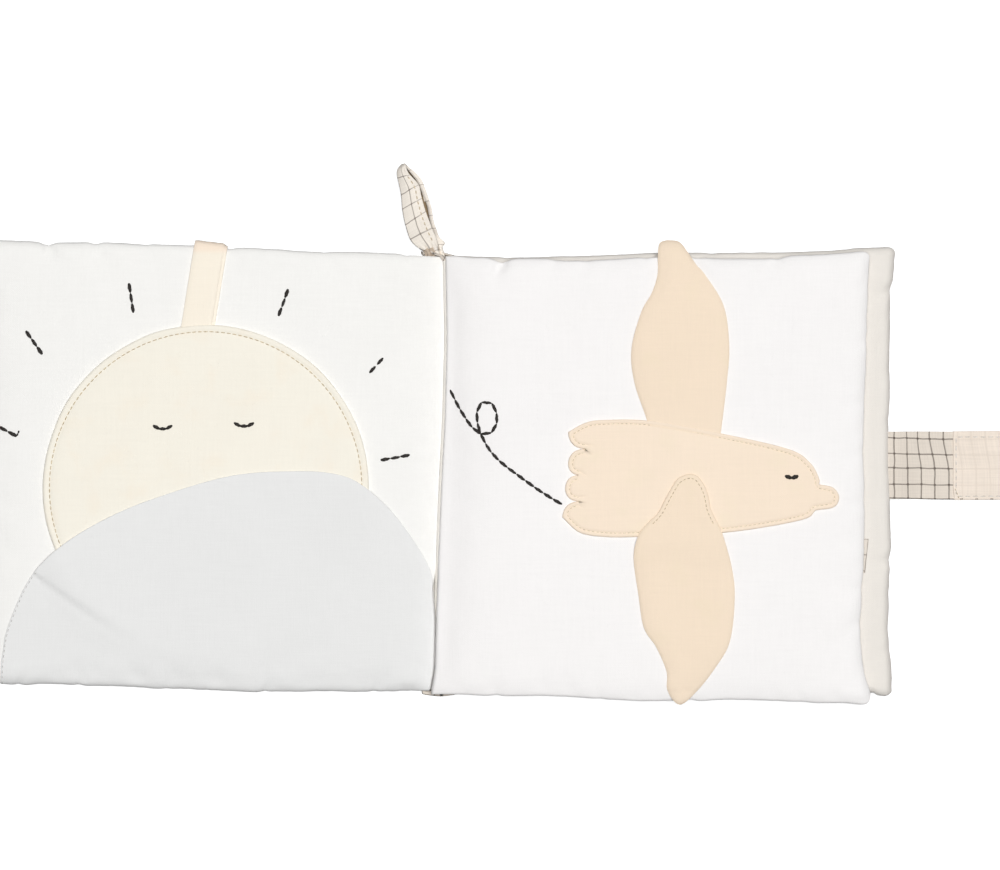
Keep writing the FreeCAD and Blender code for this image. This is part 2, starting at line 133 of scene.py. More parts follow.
# Embroidery. A ray has its two ends and its number of stitches.
FLIGHT_PATH = [(0.082, 0.725), (0.164, 0.565), (0.263, 0.419), (0.316, 0.372), (0.363, 0.355),
    (0.404, 0.363), (0.446, 0.392), (0.47, 0.466), (0.465, 0.53), (0.445, 0.593), (0.41, 0.623),
    (0.373, 0.632), (0.335, 0.617), (0.311, 0.571), (0.298, 0.512), (0.307, 0.454), (0.322, 0.395),
    (0.345, 0.337), (0.41, 0.226), (0.503, 0.126), (0.585, 0.066), (0.749, -0.055), (0.91, -0.16),
    (1, -0.212)]
RAYS = [((-136.8, 71.9), (-138.9, 85.3), 3), ((-72.1, 70.4), (-67.7, 82.6), 3),
    ((-177.5, 53.3), (-184.9, 64), 3), ((-31.8, 44.7), (-25, 52.2), 2),
    ((-188.9, 16.8), (-197.2, 21.2), 2), ((-26.6, 6.1), (-13.4, 8.5), 3)]
LONG_STITCH = 5.0

# Check and loop
CHECK = 5.75, 6.75          # across and along the cloth
LOOP_LENGTH = 44
LOOP_SEAM = 0.77
# Share of the way from the seam to the fold, then the left edge, the upper half's right
# edge and the lower half's right edge
LOOP = [(0, (-6.6, 96.3), (0.3, 97.6), (2, 96.9)),
        (0.08, (-6.8, 99.4), (-0.7, 100.2), (1.2, 99.7)),
        (0.16, (-10.2, 101.5), (-1.5, 104.7), (0.2, 103.2)),
        (0.24, (-13.4, 105), (-3.7, 110.2), (-1, 107.7)),
        (0.4, (-15.4, 111.4), (-6.3, 117), (-2.8, 113.1)),
        (0.56, (-16.7, 118.1), (-8.1, 123.1), (-3.8, 119.1)),
        (0.7, (-17.2, 124.3), (-9.5, 128.8), (-6, 125.8)),
        (0.82, (-18.2, 129.8), (-12, 131.9), (-7.9, 130.9)),
        (0.9, (-18.9, 133), (-13.9, 133.9), (-10.4, 134)),
        (0.96, (-18.8, 135.7), (-15.1, 136.2), (-12.7, 136.1)),
        (1, (-17.1, 138.1), (-16, 138.7), (-15, 138.1))]
# The same share, and the check's place along the tape
LOOP_CHECK = [(0, -3.4), (0.08, 0), (0.24, 6.75), (0.4, 13.5), (0.56, 20.25), (0.705, 27),
    (0.88, 33.75), (1, 38.6)]


# ---- Materials ----

WEAVE_DEPTH = 0.09
STREAK = 0.03
MOTTLE = 0.012
FIBRE = 5200


def srgb(r, g, b):
    """An sRGB colour, 0 to 255, as a shader's linear colour."""
    def linear(c):
        c /= 255
        return c / 12.92 if c <= 0.04045 else ((c + 0.055) / 1.055) ** 2.4
    return linear(r), linear(g), linear(b), 1.0


class Shader:
    """The node tree of a material or world, built by short calls."""

    def __init__(self, owner):
        self.owner = owner
        owner.use_nodes = True
        self.tree = owner.node_tree
        self.tree.nodes.clear()

    def plug(self, value, socket):
        if isinstance(value, bpy.types.NodeSocket):
            self.tree.links.new(value, socket)
        else:
            socket.default_value = value

    def add(self, kind, inputs, **settings):
        """The outputs of a new node."""
        node = self.tree.nodes.new("ShaderNode" + kind)
        for key, value in settings.items():
            setattr(node, key, value)
        for key, value in inputs.items():
            self.plug(value, node.inputs[key])
        return node.outputs

    def math(self, operation, first, *others):
        """The operation on one value, or on a row of values from the left."""
        if not others:
            return self.add("Math", {0: first}, operation=operation)[0]
        for value in others:
            first = self.add("Math", {0: first, 1: value}, operation=operation)[0]
        return first

    def noise(self, vector, scale, stretch=(1, 1, 1), detail=2.0):
        """Noise from 0 to 1, with its scale in cycles a metre."""
        place = self.add("Mapping", {"Vector": vector, "Scale": stretch})[0]
        return self.add("TexNoise", {"Vector": place, "Scale": scale, "Detail": detail})[0]

    def mix(self, factor, a, b, blend="MIX"):
        node = self.tree.nodes.new("ShaderNodeMix")
        node.data_type, node.blend_type = "RGBA", blend
        inputs = {socket.identifier: socket for socket in node.inputs}
        for key, value in (("Factor_Float", factor), ("A_Color", a), ("B_Color", b)):
            self.plug(value, inputs[key])
        return next(s for s in node.outputs if s.identifier == "Result_Color")

    def ramp(self, value, low, high, to_low=0.0, to_high=1.0):
        return self.add("MapRange", {"Value": value, "From Min": low, "From Max": high,
                                     "To Min": to_low, "To Max": to_high},
                        interpolation_type="SMOOTHSTEP")[0]

    def grey(self, tone):
        return self.add("CombineColor", {0: tone, 1: tone, 2: tone})[0]

    def finish(self, colour, height, depth, roughness=0.9, sheen=0.12):
        bump = self.add("Bump", {"Height": height, "Distance": depth * MM, "Strength": 0.6})[0]
        surface = self.add("BsdfPrincipled", {
            "Base Color": colour, "Roughness": roughness, "Normal": bump,
            "Specular IOR Level": 0.2, "Sheen Weight": sheen, "Sheen Roughness": 0.5})[0]
        self.add("OutputMaterial", {"Surface": surface})
        return self.owner


def new_shader(name):
    return Shader(bpy.data.materials.new(name))


def woven(s, coords, pitch):
    """Height of a plain weave, and the streaks of its uneven threads, both from 0 to 1."""
    split = s.add("SeparateXYZ", {"Vector": coords})
    wander = s.math("MULTIPLY", s.noise(coords, 160), 0.6 * pitch * MM)
    sines = []
    for axis in (0, 1):
        along = s.math("ADD", split[axis], split[2], wander)
        sines.append(s.math("SINE", s.math("MULTIPLY", along, math.pi / (pitch * MM))))
    over = s.math("MULTIPLY", *sines)
    crown = s.math("POWER", s.math("ABSOLUTE", over), 0.6)
    height = s.math("ADD", crown, s.math("MULTIPLY", over, 0.3))
    yarns = [s.noise(coords, 0.9 / (pitch * MM), run) for run in ((0.03, 1, 1), (1, 0.03, 1))]
    return height, s.math("MULTIPLY", s.math("ADD", *yarns), 0.5)


def cloth(name, colour, pitch=0.42, wear=None, end=None):
    """Plain woven cotton: threads, uneven yarn, faint mottling and worn patches.

    end is another colour, and the two Ys between which the cloth takes it on; the ribbon uses it
    for painted shade where it folds over the head edge.
    """
    s = new_shader(name)
    coords = s.add("TexCoord", {})["Object"]
    height, threads = woven(s, coords, pitch)
    shade = s.grey(s.math(
        "MULTIPLY", s.ramp(threads, 0.3, 0.7, 1 - STREAK / 2, 1 + STREAK / 2),
        s.ramp(height, 0.0, 1.2, 1 - 0.5 * STREAK, 1.0 + 0.2 * STREAK),
        s.ramp(s.noise(coords, 28, detail=3.0), 0.3, 0.7, 1 - MOTTLE / 2, 1 + MOTTLE / 2)))
    colour = s.mix(1.0, srgb(*colour), shade, "MULTIPLY")
    if wear:
        worn = s.ramp(s.noise(coords, 75, detail=4.0), 0.5, 0.75, 0.0, 0.5)
        colour = s.mix(worn, colour, srgb(*wear))
    if end:
        y = s.add("SeparateXYZ", {"Vector": coords})[1]
        reached = s.ramp(y, end[1] * MM, end[2] * MM)
        colour = s.mix(reached, colour, s.mix(1.0, srgb(*end[0]), shade, "MULTIPLY"))
    fibre = s.math("MULTIPLY", s.noise(coords, FIBRE, detail=1.0), 0.5)
    return s.finish(colour, s.math("ADD", height, threads, fibre), WEAVE_DEPTH)


def grid_lines(s, coords, width):
    """Darkness of the woven-in check, from 0 to 1, on cloth whose UVs are metres."""
    split = s.add("SeparateXYZ", {"Vector": coords})
    wander = s.math("MULTIPLY", s.math("SUBTRACT", s.noise(coords, 110), 0.5), 0.0011)
    lines, knots = [], []
    for axis, pitch in enumerate(CHECK):
        off = s.math("PINGPONG", s.math("ADD", split[axis], wander), pitch * MM / 2)
        lines.append(s.ramp(off, 0.25 * width * MM, 0.75 * width * MM, 0.8, 0.0))
        knots.append(s.ramp(off, 0.55 * width * MM, 1.1 * width * MM, 1.0, 0.0))
    clear = [s.math("SUBTRACT", 1.0, dark) for dark in (*lines, s.math("MULTIPLY", *knots))]
    return s.math("SUBTRACT", 1.0, s.math("MULTIPLY", *clear))


def checked(name, base, line, strength=1.0, width=0.5, nap=0.0, fade=None):
    """Cloth with a fine dark check, or a tape that lets one show through.

    fade is where the check pales.
    """
    s = new_shader(name)
    coords = s.add("TexCoord", {})["UV"]
    height, threads = woven(s, coords, 0.5)
    mask = s.math("MULTIPLY", grid_lines(s, coords, width),
                  s.ramp(threads, 0.25, 0.7, 0.7, 1.0), strength)
    if fade:
        place = s.add("SeparateXYZ", {"Vector": coords})[0]
        mask = s.math("MULTIPLY", mask, s.ramp(place, fade[0] * MM, fade[1] * MM, 1.0, 0.65))
    shade = s.grey(s.math("MULTIPLY", s.ramp(threads, 0.3, 0.7, 0.93, 1.04),
                          s.ramp(s.noise(coords, 60, detail=3.0), 0.3, 0.7, 0.97, 1.02)))
    colour = s.mix(1.0, s.mix(mask, srgb(*base), srgb(*line)), shade, "MULTIPLY")
    fuzz = s.math("MULTIPLY", s.noise(coords, 2600, detail=4.0), nap)
    return s.finish(colour, s.math("ADD", height, fuzz), 0.1 + 0.1 * nap, sheen=0.12 + 0.2 * nap)


def floss(name, colour):
    """Twisted embroidery floss: fine bright and dark strands, a soft gloss."""
    s = new_shader(name)
    strand = s.noise(s.add("TexCoord", {})["Object"], FIBRE, (0.35, 1, 1))
    dark, bright = [srgb(*[min(255, c * share) for c in colour]) for share in (0.8, 1.25)]
    return s.finish(s.mix(s.ramp(strand, 0.35, 0.75), dark, bright), strand, 0.12,
                    roughness=0.55, sheen=0.1)


white_cloth = cloth("white_cloth", (248, 247, 244))
page_cloth = cloth("page_cloth", (250, 248, 247))
back_cloth = cloth("back_cloth", (236, 231, 224))
hill_cloth = cloth("hill_cloth", (237, 237, 236), pitch=0.36)
sun_cloth = cloth("sun_cloth", (249, 244, 231), wear=(249, 239, 222))
# The ribbon's deeper peach end at the head is painted shade where the tape folds over the cover's
# edge.
ribbon_cloth = cloth("ribbon_cloth", (253, 244, 228), pitch=0.36,
                     end=((253, 236, 217), 97.5, 101.0))
bird_cloth = cloth("bird_cloth", (250, 232, 211), wear=(246, 231, 206))
wing_cloth = cloth("wing_cloth", (247, 228, 205), wear=(244, 227, 201))
lining_cloth = cloth("lining_cloth", (247, 243, 235))
# loop_inside_painted_shade's dark brown is painted shade for the deep inside of the loop's slit;
# loop_shade is painted shade at the loop's pinched foot.
loop_inside_painted_shade = cloth("loop_inside_painted_shade", (150, 130, 102), pitch=0.5)
loop_shade = cloth("loop_shade", (192, 176, 158))
grid_cloth = checked("grid_cloth", (228, 218, 206), (84, 73, 66), width=0.56)
loop_cloth = checked("loop_cloth", (248, 240, 229), (96, 82, 74), 0.9, 0.44, fade=(6.5, 9.0))
patch_cloth = checked("patch_cloth", (229, 221, 211), (128, 114, 104), 0.8)
tape_cloth = checked("tape_cloth", (249, 236, 222), (190, 172, 152), 0.16, 0.7, nap=1.0)
pale_thread = floss("pale_thread", (214, 193, 165))
tape_thread = floss("tape_thread", (240, 229, 212))
brown_thread = floss("brown_thread", (98, 84, 72))
grey_thread = floss("grey_thread", (201, 199, 195))
peach_thread = floss("peach_thread", (222, 200, 172))
dark_thread = floss("dark_thread", (43, 39, 36))


# ---- Shapes ----

def rise(distance, taper):
    """Share of its full swell that padding has reached at a distance from its seam."""
    share = np.clip(np.asarray(distance, float) / taper, 0, 1)
    return np.sqrt(1 - (1 - share) ** 2)


def sloped(distance, taper):
    """As rise(), for an edge that slopes away evenly and has no round."""
    return 1 - (1 - np.clip(np.asarray(distance, float) / taper, 0, 1)) ** 2


def ease(value, low, high):
    share = np.clip((np.asarray(value, float) - low) / (high - low), 0, 1)
    return share * share * (3 - 2 * share)


def bump(value, width):
    return np.exp(-(np.asarray(value, float) / width) ** 2)


def waves(x, y, length, seed, count=7):
    """Smooth irregular swell from -1 to 1 with waves of about this length."""
    rng = np.random.default_rng(seed)
    total = 0.0
    for _ in range(count):
        angle, phase = rng.uniform(0, 2 * math.pi, 2)
        k = 2 * math.pi / (length * rng.uniform(0.7, 1.5))
        total = total + np.sin(k * (x * math.cos(angle) + y * math.sin(angle)) + phase)
    return total / count * 1.6


def resampled(points, step):
    """Points an even step apart along a line through points."""
    points = np.asarray(points, float)
    steps = np.linalg.norm(np.diff(points, axis=0), axis=1)
    lengths = np.concatenate([[0], np.cumsum(steps)])
    places = np.linspace(0, lengths[-1], max(3, round(lengths[-1] / step) + 1))
    return np.stack([np.interp(places, lengths, column) for column in points.T], 1)


def smooth(points, step=0.9):
    """Smooth curve through points, resampled at an even step."""
    points = np.asarray(points, float)
    padded = np.concatenate([[2 * points[0] - points[1]], points, [2 * points[-1] - points[-2]]])
    t = np.linspace(0, 1, 24, endpoint=False)[:, None]
    curve = [0.5 * (2 * b + (c - a) * t + (2 * a - 5 * b + 4 * c - d) * t ** 2
                    + (3 * b - a - 3 * c + d) * t ** 3)
             for a, b, c, d in zip(padded, padded[1:], padded[2:], padded[3:])]
    return resampled(np.concatenate(curve + [points[-1:]]), step)


def smooth_loop(points):
    """Smooth closed curve through points."""
    line = smooth(np.concatenate([points[-3:], points, points[:4]]), 0.1)
    half = len(line) // 2
    far = np.linalg.norm(line - points[0], axis=1)
    return resampled(line[far[:half].argmin():half + far[half:].argmin() + 1], 0.9)[:-1]


def placed(shares, x, y, width, length):
    return np.array([(x + u * width, y + v * length) for u, v in shares])


def from_outline(points, outline):
    """Distance of each point from a closed outline."""
    after = np.roll(outline, -1, axis=0)
    best = np.full(len(points), 1e9)
    for start in range(0, len(outline), 64):
        p, q = outline[start:start + 64], after[start:start + 64]
        step = q - p
        t = ((points[:, None] - p) * step).sum(2) / np.maximum((step ** 2).sum(1), 1e-12)
        near = p + np.clip(t, 0, 1)[..., None] * step
        best = np.minimum(best, np.linalg.norm(points[:, None] - near, axis=2).min(1))
    return best


def inside(points, outline):
    """Whether each point is inside a closed outline."""
    x, y = points.T
    found = np.zeros(len(points), bool)
    for (ax, ay), (bx, by) in zip(outline, np.roll(outline, -1, axis=0)):
        crosses = (ay > y) != (by > y)
        found ^= crosses & (x < (bx - ax) * (y - ay) / (by - ay + 1e-12) + ax)
    return found


def inner_line(outline, inset):
    """Each point of a closed outline, moved in by the inset."""
    edge = np.roll(outline, -1, axis=0) - np.roll(outline, 1, axis=0)
    inward = np.stack([-edge[:, 1], edge[:, 0]], 1) / np.linalg.norm(edge, axis=1, keepdims=True)
    turn = 1 if inside(outline[:1] + 0.05 * inward[:1], outline)[0] else -1
    return outline + turn * inward * inset


def cloud(x, y):
    return np.stack([np.atleast_1d(x), np.atleast_1d(y)], 1).astype(float)


def at_inset(top, inset):
    """Height at one point of a form whose height also needs the distance from its edge."""
    return lambda x, y: top(np.array([x]), np.array([y]), np.array([inset]))[0]


def normals(grid):
    normal = np.cross(np.gradient(grid, axis=0), np.gradient(grid, axis=1))
    return normal / np.maximum(np.linalg.norm(normal, axis=2, keepdims=True), 1e-9)


ENDS = (0, 0.1, 0.4, 1.0, 1.9, 3.0)
STRAP_ENDS = (ENDS, ENDS[:4])


def spaced(length, step, ends=ENDS):
    """Places along a length, close together at both of its ends."""
    count = max(2, round((length - 2 * ends[-1]) / step))
    inner = np.linspace(ends[-1], length - ends[-1], count)
    return np.concatenate([ends[:-1], inner, [length - e for e in reversed(ends[:-1])]])


def flat_grid(low, high, steps, ends=(ENDS, ENDS)):
    """X and Y of points over a rectangle, close together at its edges."""
    places = [spaced(high[k] - low[k], steps[k], ends[k]) + low[k] for k in (0, 1)]
    return np.meshgrid(*places, indexing="ij")


def between(grid, i, j):
    """Smooth value of a grid at fractional rows and columns."""
    i, j = np.broadcast_arrays(i, j)
    row, column = np.floor(i).astype(int), np.floor(j).astype(int)

    def weight(off):
        t = np.abs(off)
        near = 1.5 * t ** 3 - 2.5 * t ** 2 + 1
        far = -0.5 * t ** 3 + 2.5 * t ** 2 - 4 * t + 2
        return np.where(t < 1, near, np.where(t < 2, far, 0))
    total = 0.0
    for a in range(-1, 3):
        for b in range(-1, 3):
            value = grid[np.clip(row + a, 0, grid.shape[0] - 1),
                         np.clip(column + b, 0, grid.shape[1] - 1)]
            total = total + weight(i - row - a) * weight(j - column - b) * value
    return total


# ---- Pieces ----

def piece(name, points, faces, material, slot, body, replaces=(), uv=None):
    """A smooth mesh from points in millimetres. uv gives two places a point."""
    mesh = bpy.data.meshes.new(name)
    mesh.from_pydata((np.asarray(points, float) * MM).tolist(), [], faces)
    mesh.validate()
    mesh.polygons.foreach_set("use_smooth", [True] * len(mesh.polygons))
    if uv is not None:
        layer = mesh.uv_layers.new(name="cloth")
        corners = np.empty(len(mesh.loops), np.int32)
        mesh.loops.foreach_get("vertex_index", corners)
        layer.data.foreach_set("uv", (np.asarray(uv)[corners] * MM).ravel().tolist())
    mesh.materials.append(material)
    made = bpy.data.objects.new(name, mesh)
    bpy.context.scene.collection.objects.link(made)
    if body:
        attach(made, body)
    if replaces:
        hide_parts(*replaces)
    return made


def two_skins(upper, lower):
    """Points and faces of a closed form between two grids of points that share their border."""
    rows, columns = upper.shape[:2]
    top = np.arange(rows * columns).reshape(rows, columns)
    under = top.copy()
    inner = (slice(1, -1), slice(1, -1))
    under[inner] = rows * columns + np.arange((rows - 2) * (columns - 2)).reshape(rows - 2, -1)
    points = np.concatenate([upper.reshape(-1, 3), lower[inner].reshape(-1, 3)])
    faces = []
    for skin, turn in ((top, 1), (under, -1)):
        quads = np.stack([skin[:-1, :-1], skin[1:, :-1], skin[1:, 1:], skin[:-1, 1:]], -1)
        faces += quads.reshape(-1, 4)[:, ::turn].tolist()
    return points, faces


def strip(name, grid, thickness, material, slot, body, replaces=(), uv=None):
    """Band of cloth about a grid of points, with rounded edges."""
    half = np.zeros(grid.shape[:2])
    half[1:-1, 1:-1] = thickness / 2
    offset = normals(grid) * half[..., None]
    points, faces = two_skins(grid + offset, grid - offset)
    if uv is not None:
        uv = np.concatenate([uv.reshape(-1, 2), uv[1:-1, 1:-1].reshape(-1, 2)])
    return piece(name, points, faces, material, slot, body, replaces, uv)


def cut_out(outline, rings, step, top, bottom, border):
    """Points and faces of a closed form inside an outline.

    top and bottom give heights from x, y and the distance from the edge. border gives the
    height of the edge itself.
    """
    clouds = []
    for ring in rings:
        moved = inner_line(outline, ring)
        clouds.append(moved[(from_outline(moved, outline) > 0.96 * ring) & inside(moved, outline)])
    low, high = outline.min(0), outline.max(0)
    gx, gy = np.meshgrid(np.arange(low[0], high[0], step), np.arange(low[1], high[1], step * 0.87))
    gx[1::2] += step / 2
    field = np.stack([gx.ravel(), gy.ravel()], 1)
    field = field[inside(field, outline)]
    clouds.append(field[from_outline(field, outline) > rings[-1] + 0.6 * step])
    flat = [Vector(point) for point in np.concatenate([outline] + clouds)]
    count = len(outline)
    rim = [(k, (k + 1) % count) for k in range(count)]
    points, _, faces, origin = delaunay_2d_cdt(flat, rim, [], 1, 1e-5)[:4]
    points = np.array([tuple(point) for point in points])
    on_edge = np.array([any(k < count for k in source) for source in origin])
    away = np.where(on_edge, 0, from_outline(points, outline))
    x, y = points.T
    skins = [np.stack([x, y, np.where(on_edge, border(x, y), skin(x, y, away))], 1)
             for skin in (top, bottom)]
    under = np.where(on_edge, np.arange(len(points)), len(points) + np.cumsum(~on_edge) - 1)
    turned = [[int(under[k]) for k in reversed(face)] for face in faces]
    return np.concatenate([skins[0], skins[1][~on_edge]]), [list(face) for face in faces] + turned


def sew(name, lines, height, pitch, fill, radius, thread, slot, body, replaces=(),
        sides=6, rings=5, plies=0, flare=0.0):
    """Stitches end to end on each line: spindles whose ends dip into the cloth.

    flare is how much fuller a row is at its two ends.
    """
    points, faces = [], []
    angles = [2 * math.pi * j / sides for j in range(sides)]
    for marks in (resampled(line, pitch) for line in lines):
        for number, (start, end) in enumerate(zip(marks, marks[1:])):
            step = end - start
            length = np.linalg.norm(step) * fill
            along = step / np.linalg.norm(step)
            side = np.array([-along[1], along[0]])
            aside, fuller, twist = random.normal(0, 0.04, 3)
            middle = (start + end) / 2 + side * radius * aside
            base = len(points)
            for k, way in enumerate(np.linspace(-0.5, 0.5, rings)):
                swell = max(0.16, math.cos(way * math.pi * 0.92) ** 0.55) * (1 + fuller)
                swell *= 1 + flare * (2 * (number + 0.5 + way) / (len(marks) - 1) - 1) ** 2
                centre = middle + along * way * length
                deep = height(*centre) + radius * (0.45 - 0.35 * (2 * abs(way)) ** 3)
                for angle in angles:
                    r = radius * swell
                    if plies:
                        r *= 0.8 + 0.26 * abs(math.cos(angle * plies / 2 + way * 7.0 + twist))
                    flat = centre + side * r * math.cos(angle)
                    points.append((*flat, float(deep) + r * 0.85 * math.sin(angle)))
                if k:
                    last = base + (k - 1) * sides
                    for a, b in ((last + j, last + (j + 1) % sides) for j in range(sides)):
                        faces.append((a, b, b + sides, a + sides))
            faces.append(tuple(range(base + sides - 1, base - 1, -1)))
            faces.append(tuple(range(len(points) - sides, len(points))))
    return piece(name, points, faces, thread, slot, body, replaces)


def embroider(node, path, height, count, body, radius=0.72, fill=0.97, flare=0.0):
    path = np.asarray(path, float)
    length = np.linalg.norm(np.diff(path, axis=0), axis=1).sum()
    return sew(f"{node}_floss", [path], height, length / count, fill, radius, dark_thread, "floss",
               body, [node], sides=16, rings=15, plies=3, flare=flare)


# ---- Leaves ----

def drift(curve, place):
    """How far hand sewing has taken an edge off its straight run at a place along it."""
    return np.interp(place, curve[:, 0], curve[:, 1])


GUTTER = smooth([(-100, -4.3), (-95.7, -4), (-87, -2.6), (-74, -2.2), (-58, -1.75), (-48, -1.3),
    (-38, -1), (0, 0.6), (24, 1.9), (46, 2.5), (60, 2.8), (77, 2.6), (95, 2.2), (100, 2.2)], 1.0)


def lean(y):
    """The gutter runs a little aslant."""
    return drift(GUTTER, y)


def blown_up(points, faces, pinned, slack, pressure=4.0, frames=20):
    """Where a closed cloth form's points go when it is filled.

    slack has each point's share of extra cloth.
    """
    mesh = bpy.data.meshes.new("filling")
    mesh.from_pydata((points * MM).tolist(), [], faces)
    made = bpy.data.objects.new("filling", mesh)
    scene = bpy.context.scene
    scene.collection.objects.link(made)
    made.vertex_groups.new(name="seam").add([int(k) for k in pinned], 1.0, "REPLACE")
    loose = made.vertex_groups.new(name="slack")
    for k, share in enumerate(slack):
        loose.add([k], float(share), "REPLACE")
    cloth_sim = made.modifiers.new("filling", "CLOTH")
    settings = cloth_sim.settings
    settings.quality = 5
    settings.vertex_group_mass = "seam"
    settings.vertex_group_shrink = "slack"
    settings.shrink_min, settings.shrink_max = -0.006, -0.06
    settings.bending_stiffness = 0.3
    settings.use_pressure = True
    settings.uniform_pressure_force = pressure
    settings.effector_weights.gravity = 0.0
    cloth_sim.collision_settings.use_collision = False
    cloth_sim.point_cache.frame_start, cloth_sim.point_cache.frame_end = 1, frames
    for step in range(1, frames + 1):
        scene.frame_set(step)
    shaped = made.evaluated_get(bpy.context.evaluated_depsgraph_get()).data
    found = np.empty(3 * len(points), np.float32)
    shaped.vertices.foreach_get("co", found)
    scene.frame_set(1)
    bpy.data.objects.remove(made)
    bpy.data.meshes.remove(mesh)
    return found.reshape(-1, 3).astype(float) / MM


@dataclass
class Leaf:
    """A padded leaf. Its skins are heights at a distance from the spine seam and a Y.

    A line says how far an edge strays from its straight run, a pucker has its place on the
    edge and its depth, and a press has the stretch of the head that it flattens, how fast
    that spreads and its depth.
    """
    side: int
    width: float
    fore_height: float
    fore_rise: float
    ceiling: float
    seed: int
    taper: float
    head_line: list
    tail_line: list
    fore_line: list = ((0, 0), (1, 0))
    head_puckers: list = ()
    tail_puckers: list = ()
    fore_puckers: list = ()
    head_presses: list = ()
    spine_rise: float = 0.0
    rests_on: "Leaf" = None
    filled = None

    def __post_init__(self):
        self.head_line, self.tail_line, self.fore_line = [
            smooth(line, 1.0) for line in (self.head_line, self.tail_line, self.fore_line)]

    def x(self, distance, y):
        slack = 0.1 if self.side > 0 else 0.12 + 1.5 * bump(y + 51, 10)
        close = 1.42 - slack * (1 - ease(y, -52, -34))
        gap = SPINE_GAP / 2 - close * np.exp(-distance / 5.0)
        return self.side * (gap + distance) + lean(y) * np.exp(-distance / 10.0)

    def distance(self, x, y):
        found = self.side * x - SPINE_GAP / 2
        for _ in range(6):
            found = found - self.side * (self.x(found, y) - x)
        return found

    def edges(self, distance):
        share = distance / self.width
        half = (SPINE_HEIGHT + (self.fore_height - SPINE_HEIGHT) * share) / 2
        shrink = CORNER_RADIUS * (1 - rise(self.width - distance, CORNER_RADIUS))
        middle = self.spine_rise + (self.fore_rise - self.spine_rise) * share
        wave = 2 * math.pi * distance / RIPPLE_LENGTH
        tail = middle - half + shrink + RIPPLE * np.sin(wave * 1.3 + 1.0)
        head = middle + half - shrink + RIPPLE * np.sin(wave + self.side)
        tail = tail + drift(self.tail_line, distance)
        head = head + drift(self.head_line, distance)
        fine = 0.22 * waves(distance, 0 * distance, 11, self.seed + 3)
        for place, deep in self.head_puckers:
            head = head - deep * bump(distance - place, 1.4 + deep)
        for place, deep in self.tail_puckers:
            tail = tail + deep * bump(distance - place, 1.4 + deep)
        return tail - np.abs(fine), head + np.abs(fine)

    def seams(self, distance, y):
        """For head, tail and fore-edge: how far in a point is, its place along, the puckers."""
        tail, head = self.edges(distance)
        return ((head - y, distance, self.head_puckers), (y - tail, distance, self.tail_puckers),
                (self.width - distance, y, self.fore_puckers))

    def skins(self, distance):
        """Heights of the lower and the upper skin where the leaf is full."""
        full = (0.53 * rise(distance, SPINE_ROLL) + 0.3 * (1 - np.exp(-distance / 8.0))
                + 0.17 * sloped(distance, SPINE_TAPER))
        if self.rests_on:
            low = self.rests_on.skins(distance)[1] + CLEAR
            seam_top = self.rests_on.skins(0.0)[1] + SEAM_THICKNESS
        else:
            low = (SEAM_HEIGHT - SEAM_THICKNESS / 2) * (1 - rise(distance, UNDER_TAPER))
            seam_top = SEAM_HEIGHT + SEAM_THICKNESS / 2
        return low, seam_top + (self.ceiling - seam_top) * full

    def fore_inset(self, y):
        inset = drift(self.fore_line, y) + 0.3 * np.abs(waves(y, 0 * y, 9, self.seed + 5))
        for place, deep in self.fore_puckers:
            inset = inset + deep * bump(y - place, 3.0)
        return inset

    def closing(self, distance, y, grow=0.0):
        """Share of the full swell, 0 at every seam, with the padding slack near the seams."""
        tail, head = self.edges(distance)
        share = rise(distance + grow, EDGE_ROLL + grow)
        for inset, roll in ((y - tail, 0.3), (head - y, 0.3), (self.width - distance, 0.08)):
            share = share * (roll * rise(inset + grow, EDGE_ROLL + grow)
                             + (1 - roll) * sloped(inset + grow, self.taper + grow))
        return share

    def detail(self, distance, y):
        """How far the upper skin dips: a slack swell and the folds that run in from puckers."""
        x = self.side * distance
        dip = 0.1 * (1 + waves(x, y, 62, self.seed)) + 0.05 * (1 + waves(x, y, 21, self.seed + 1))
        seams = self.seams(distance, y)
        for inset, along, puckers in seams:
            inset = np.maximum(inset, 0)
            near = np.exp(-inset / 3.0)
            slack = np.maximum(waves(along + 0.3 * inset, 0 * y, 9, self.seed + 8), 0)
            dip = dip + 0.5 * near * slack * ease(inset, 0.3, 2.0)
            for place, deep in puckers:
                fold = bump(along - place + 0.5 * inset, 1.3 + 0.25 * inset)
                dip = dip + 2.2 * deep * fold * np.exp(-inset / 4.5)
        inset = np.maximum(seams[0][0], 0)
        for left, right, spread, deep in self.head_presses:
            past = ease(distance - spread * inset, right - 1, right + 8)
            dip = dip + deep * (ease(distance, left - 8, left + 1) * (1 - past)) * bump(inset, 13.0)
        return dip

    def loft(self, distance, y):
        """What the filled cloth still lacks to its full height."""
        if self.filled is None:
            return 0.5 * LOFT
        tail, head = self.edges(distance)
        rows, columns = self.filled.shape
        row = np.clip(distance / self.width, 0, 1) * (rows - 1)
        return LOFT - between(self.filled, row,
                              np.clip((y - tail) / (head - tail), 0, 1) * (columns - 1))

    def form(self, distances, shares):
        """Distances and Ys of a grid of points over the leaf."""
        d, share = np.meshgrid(distances, shares, indexing="ij")
        tail, head = self.edges(d)
        return d, tail + (head - tail) * share

    def closed(self, upper, lower):
        """Points and faces of the leaf between its skins, with the faces turned outwards."""
        points, faces = two_skins(upper, lower)
        return points, faces if self.side > 0 else [face[::-1] for face in faces]

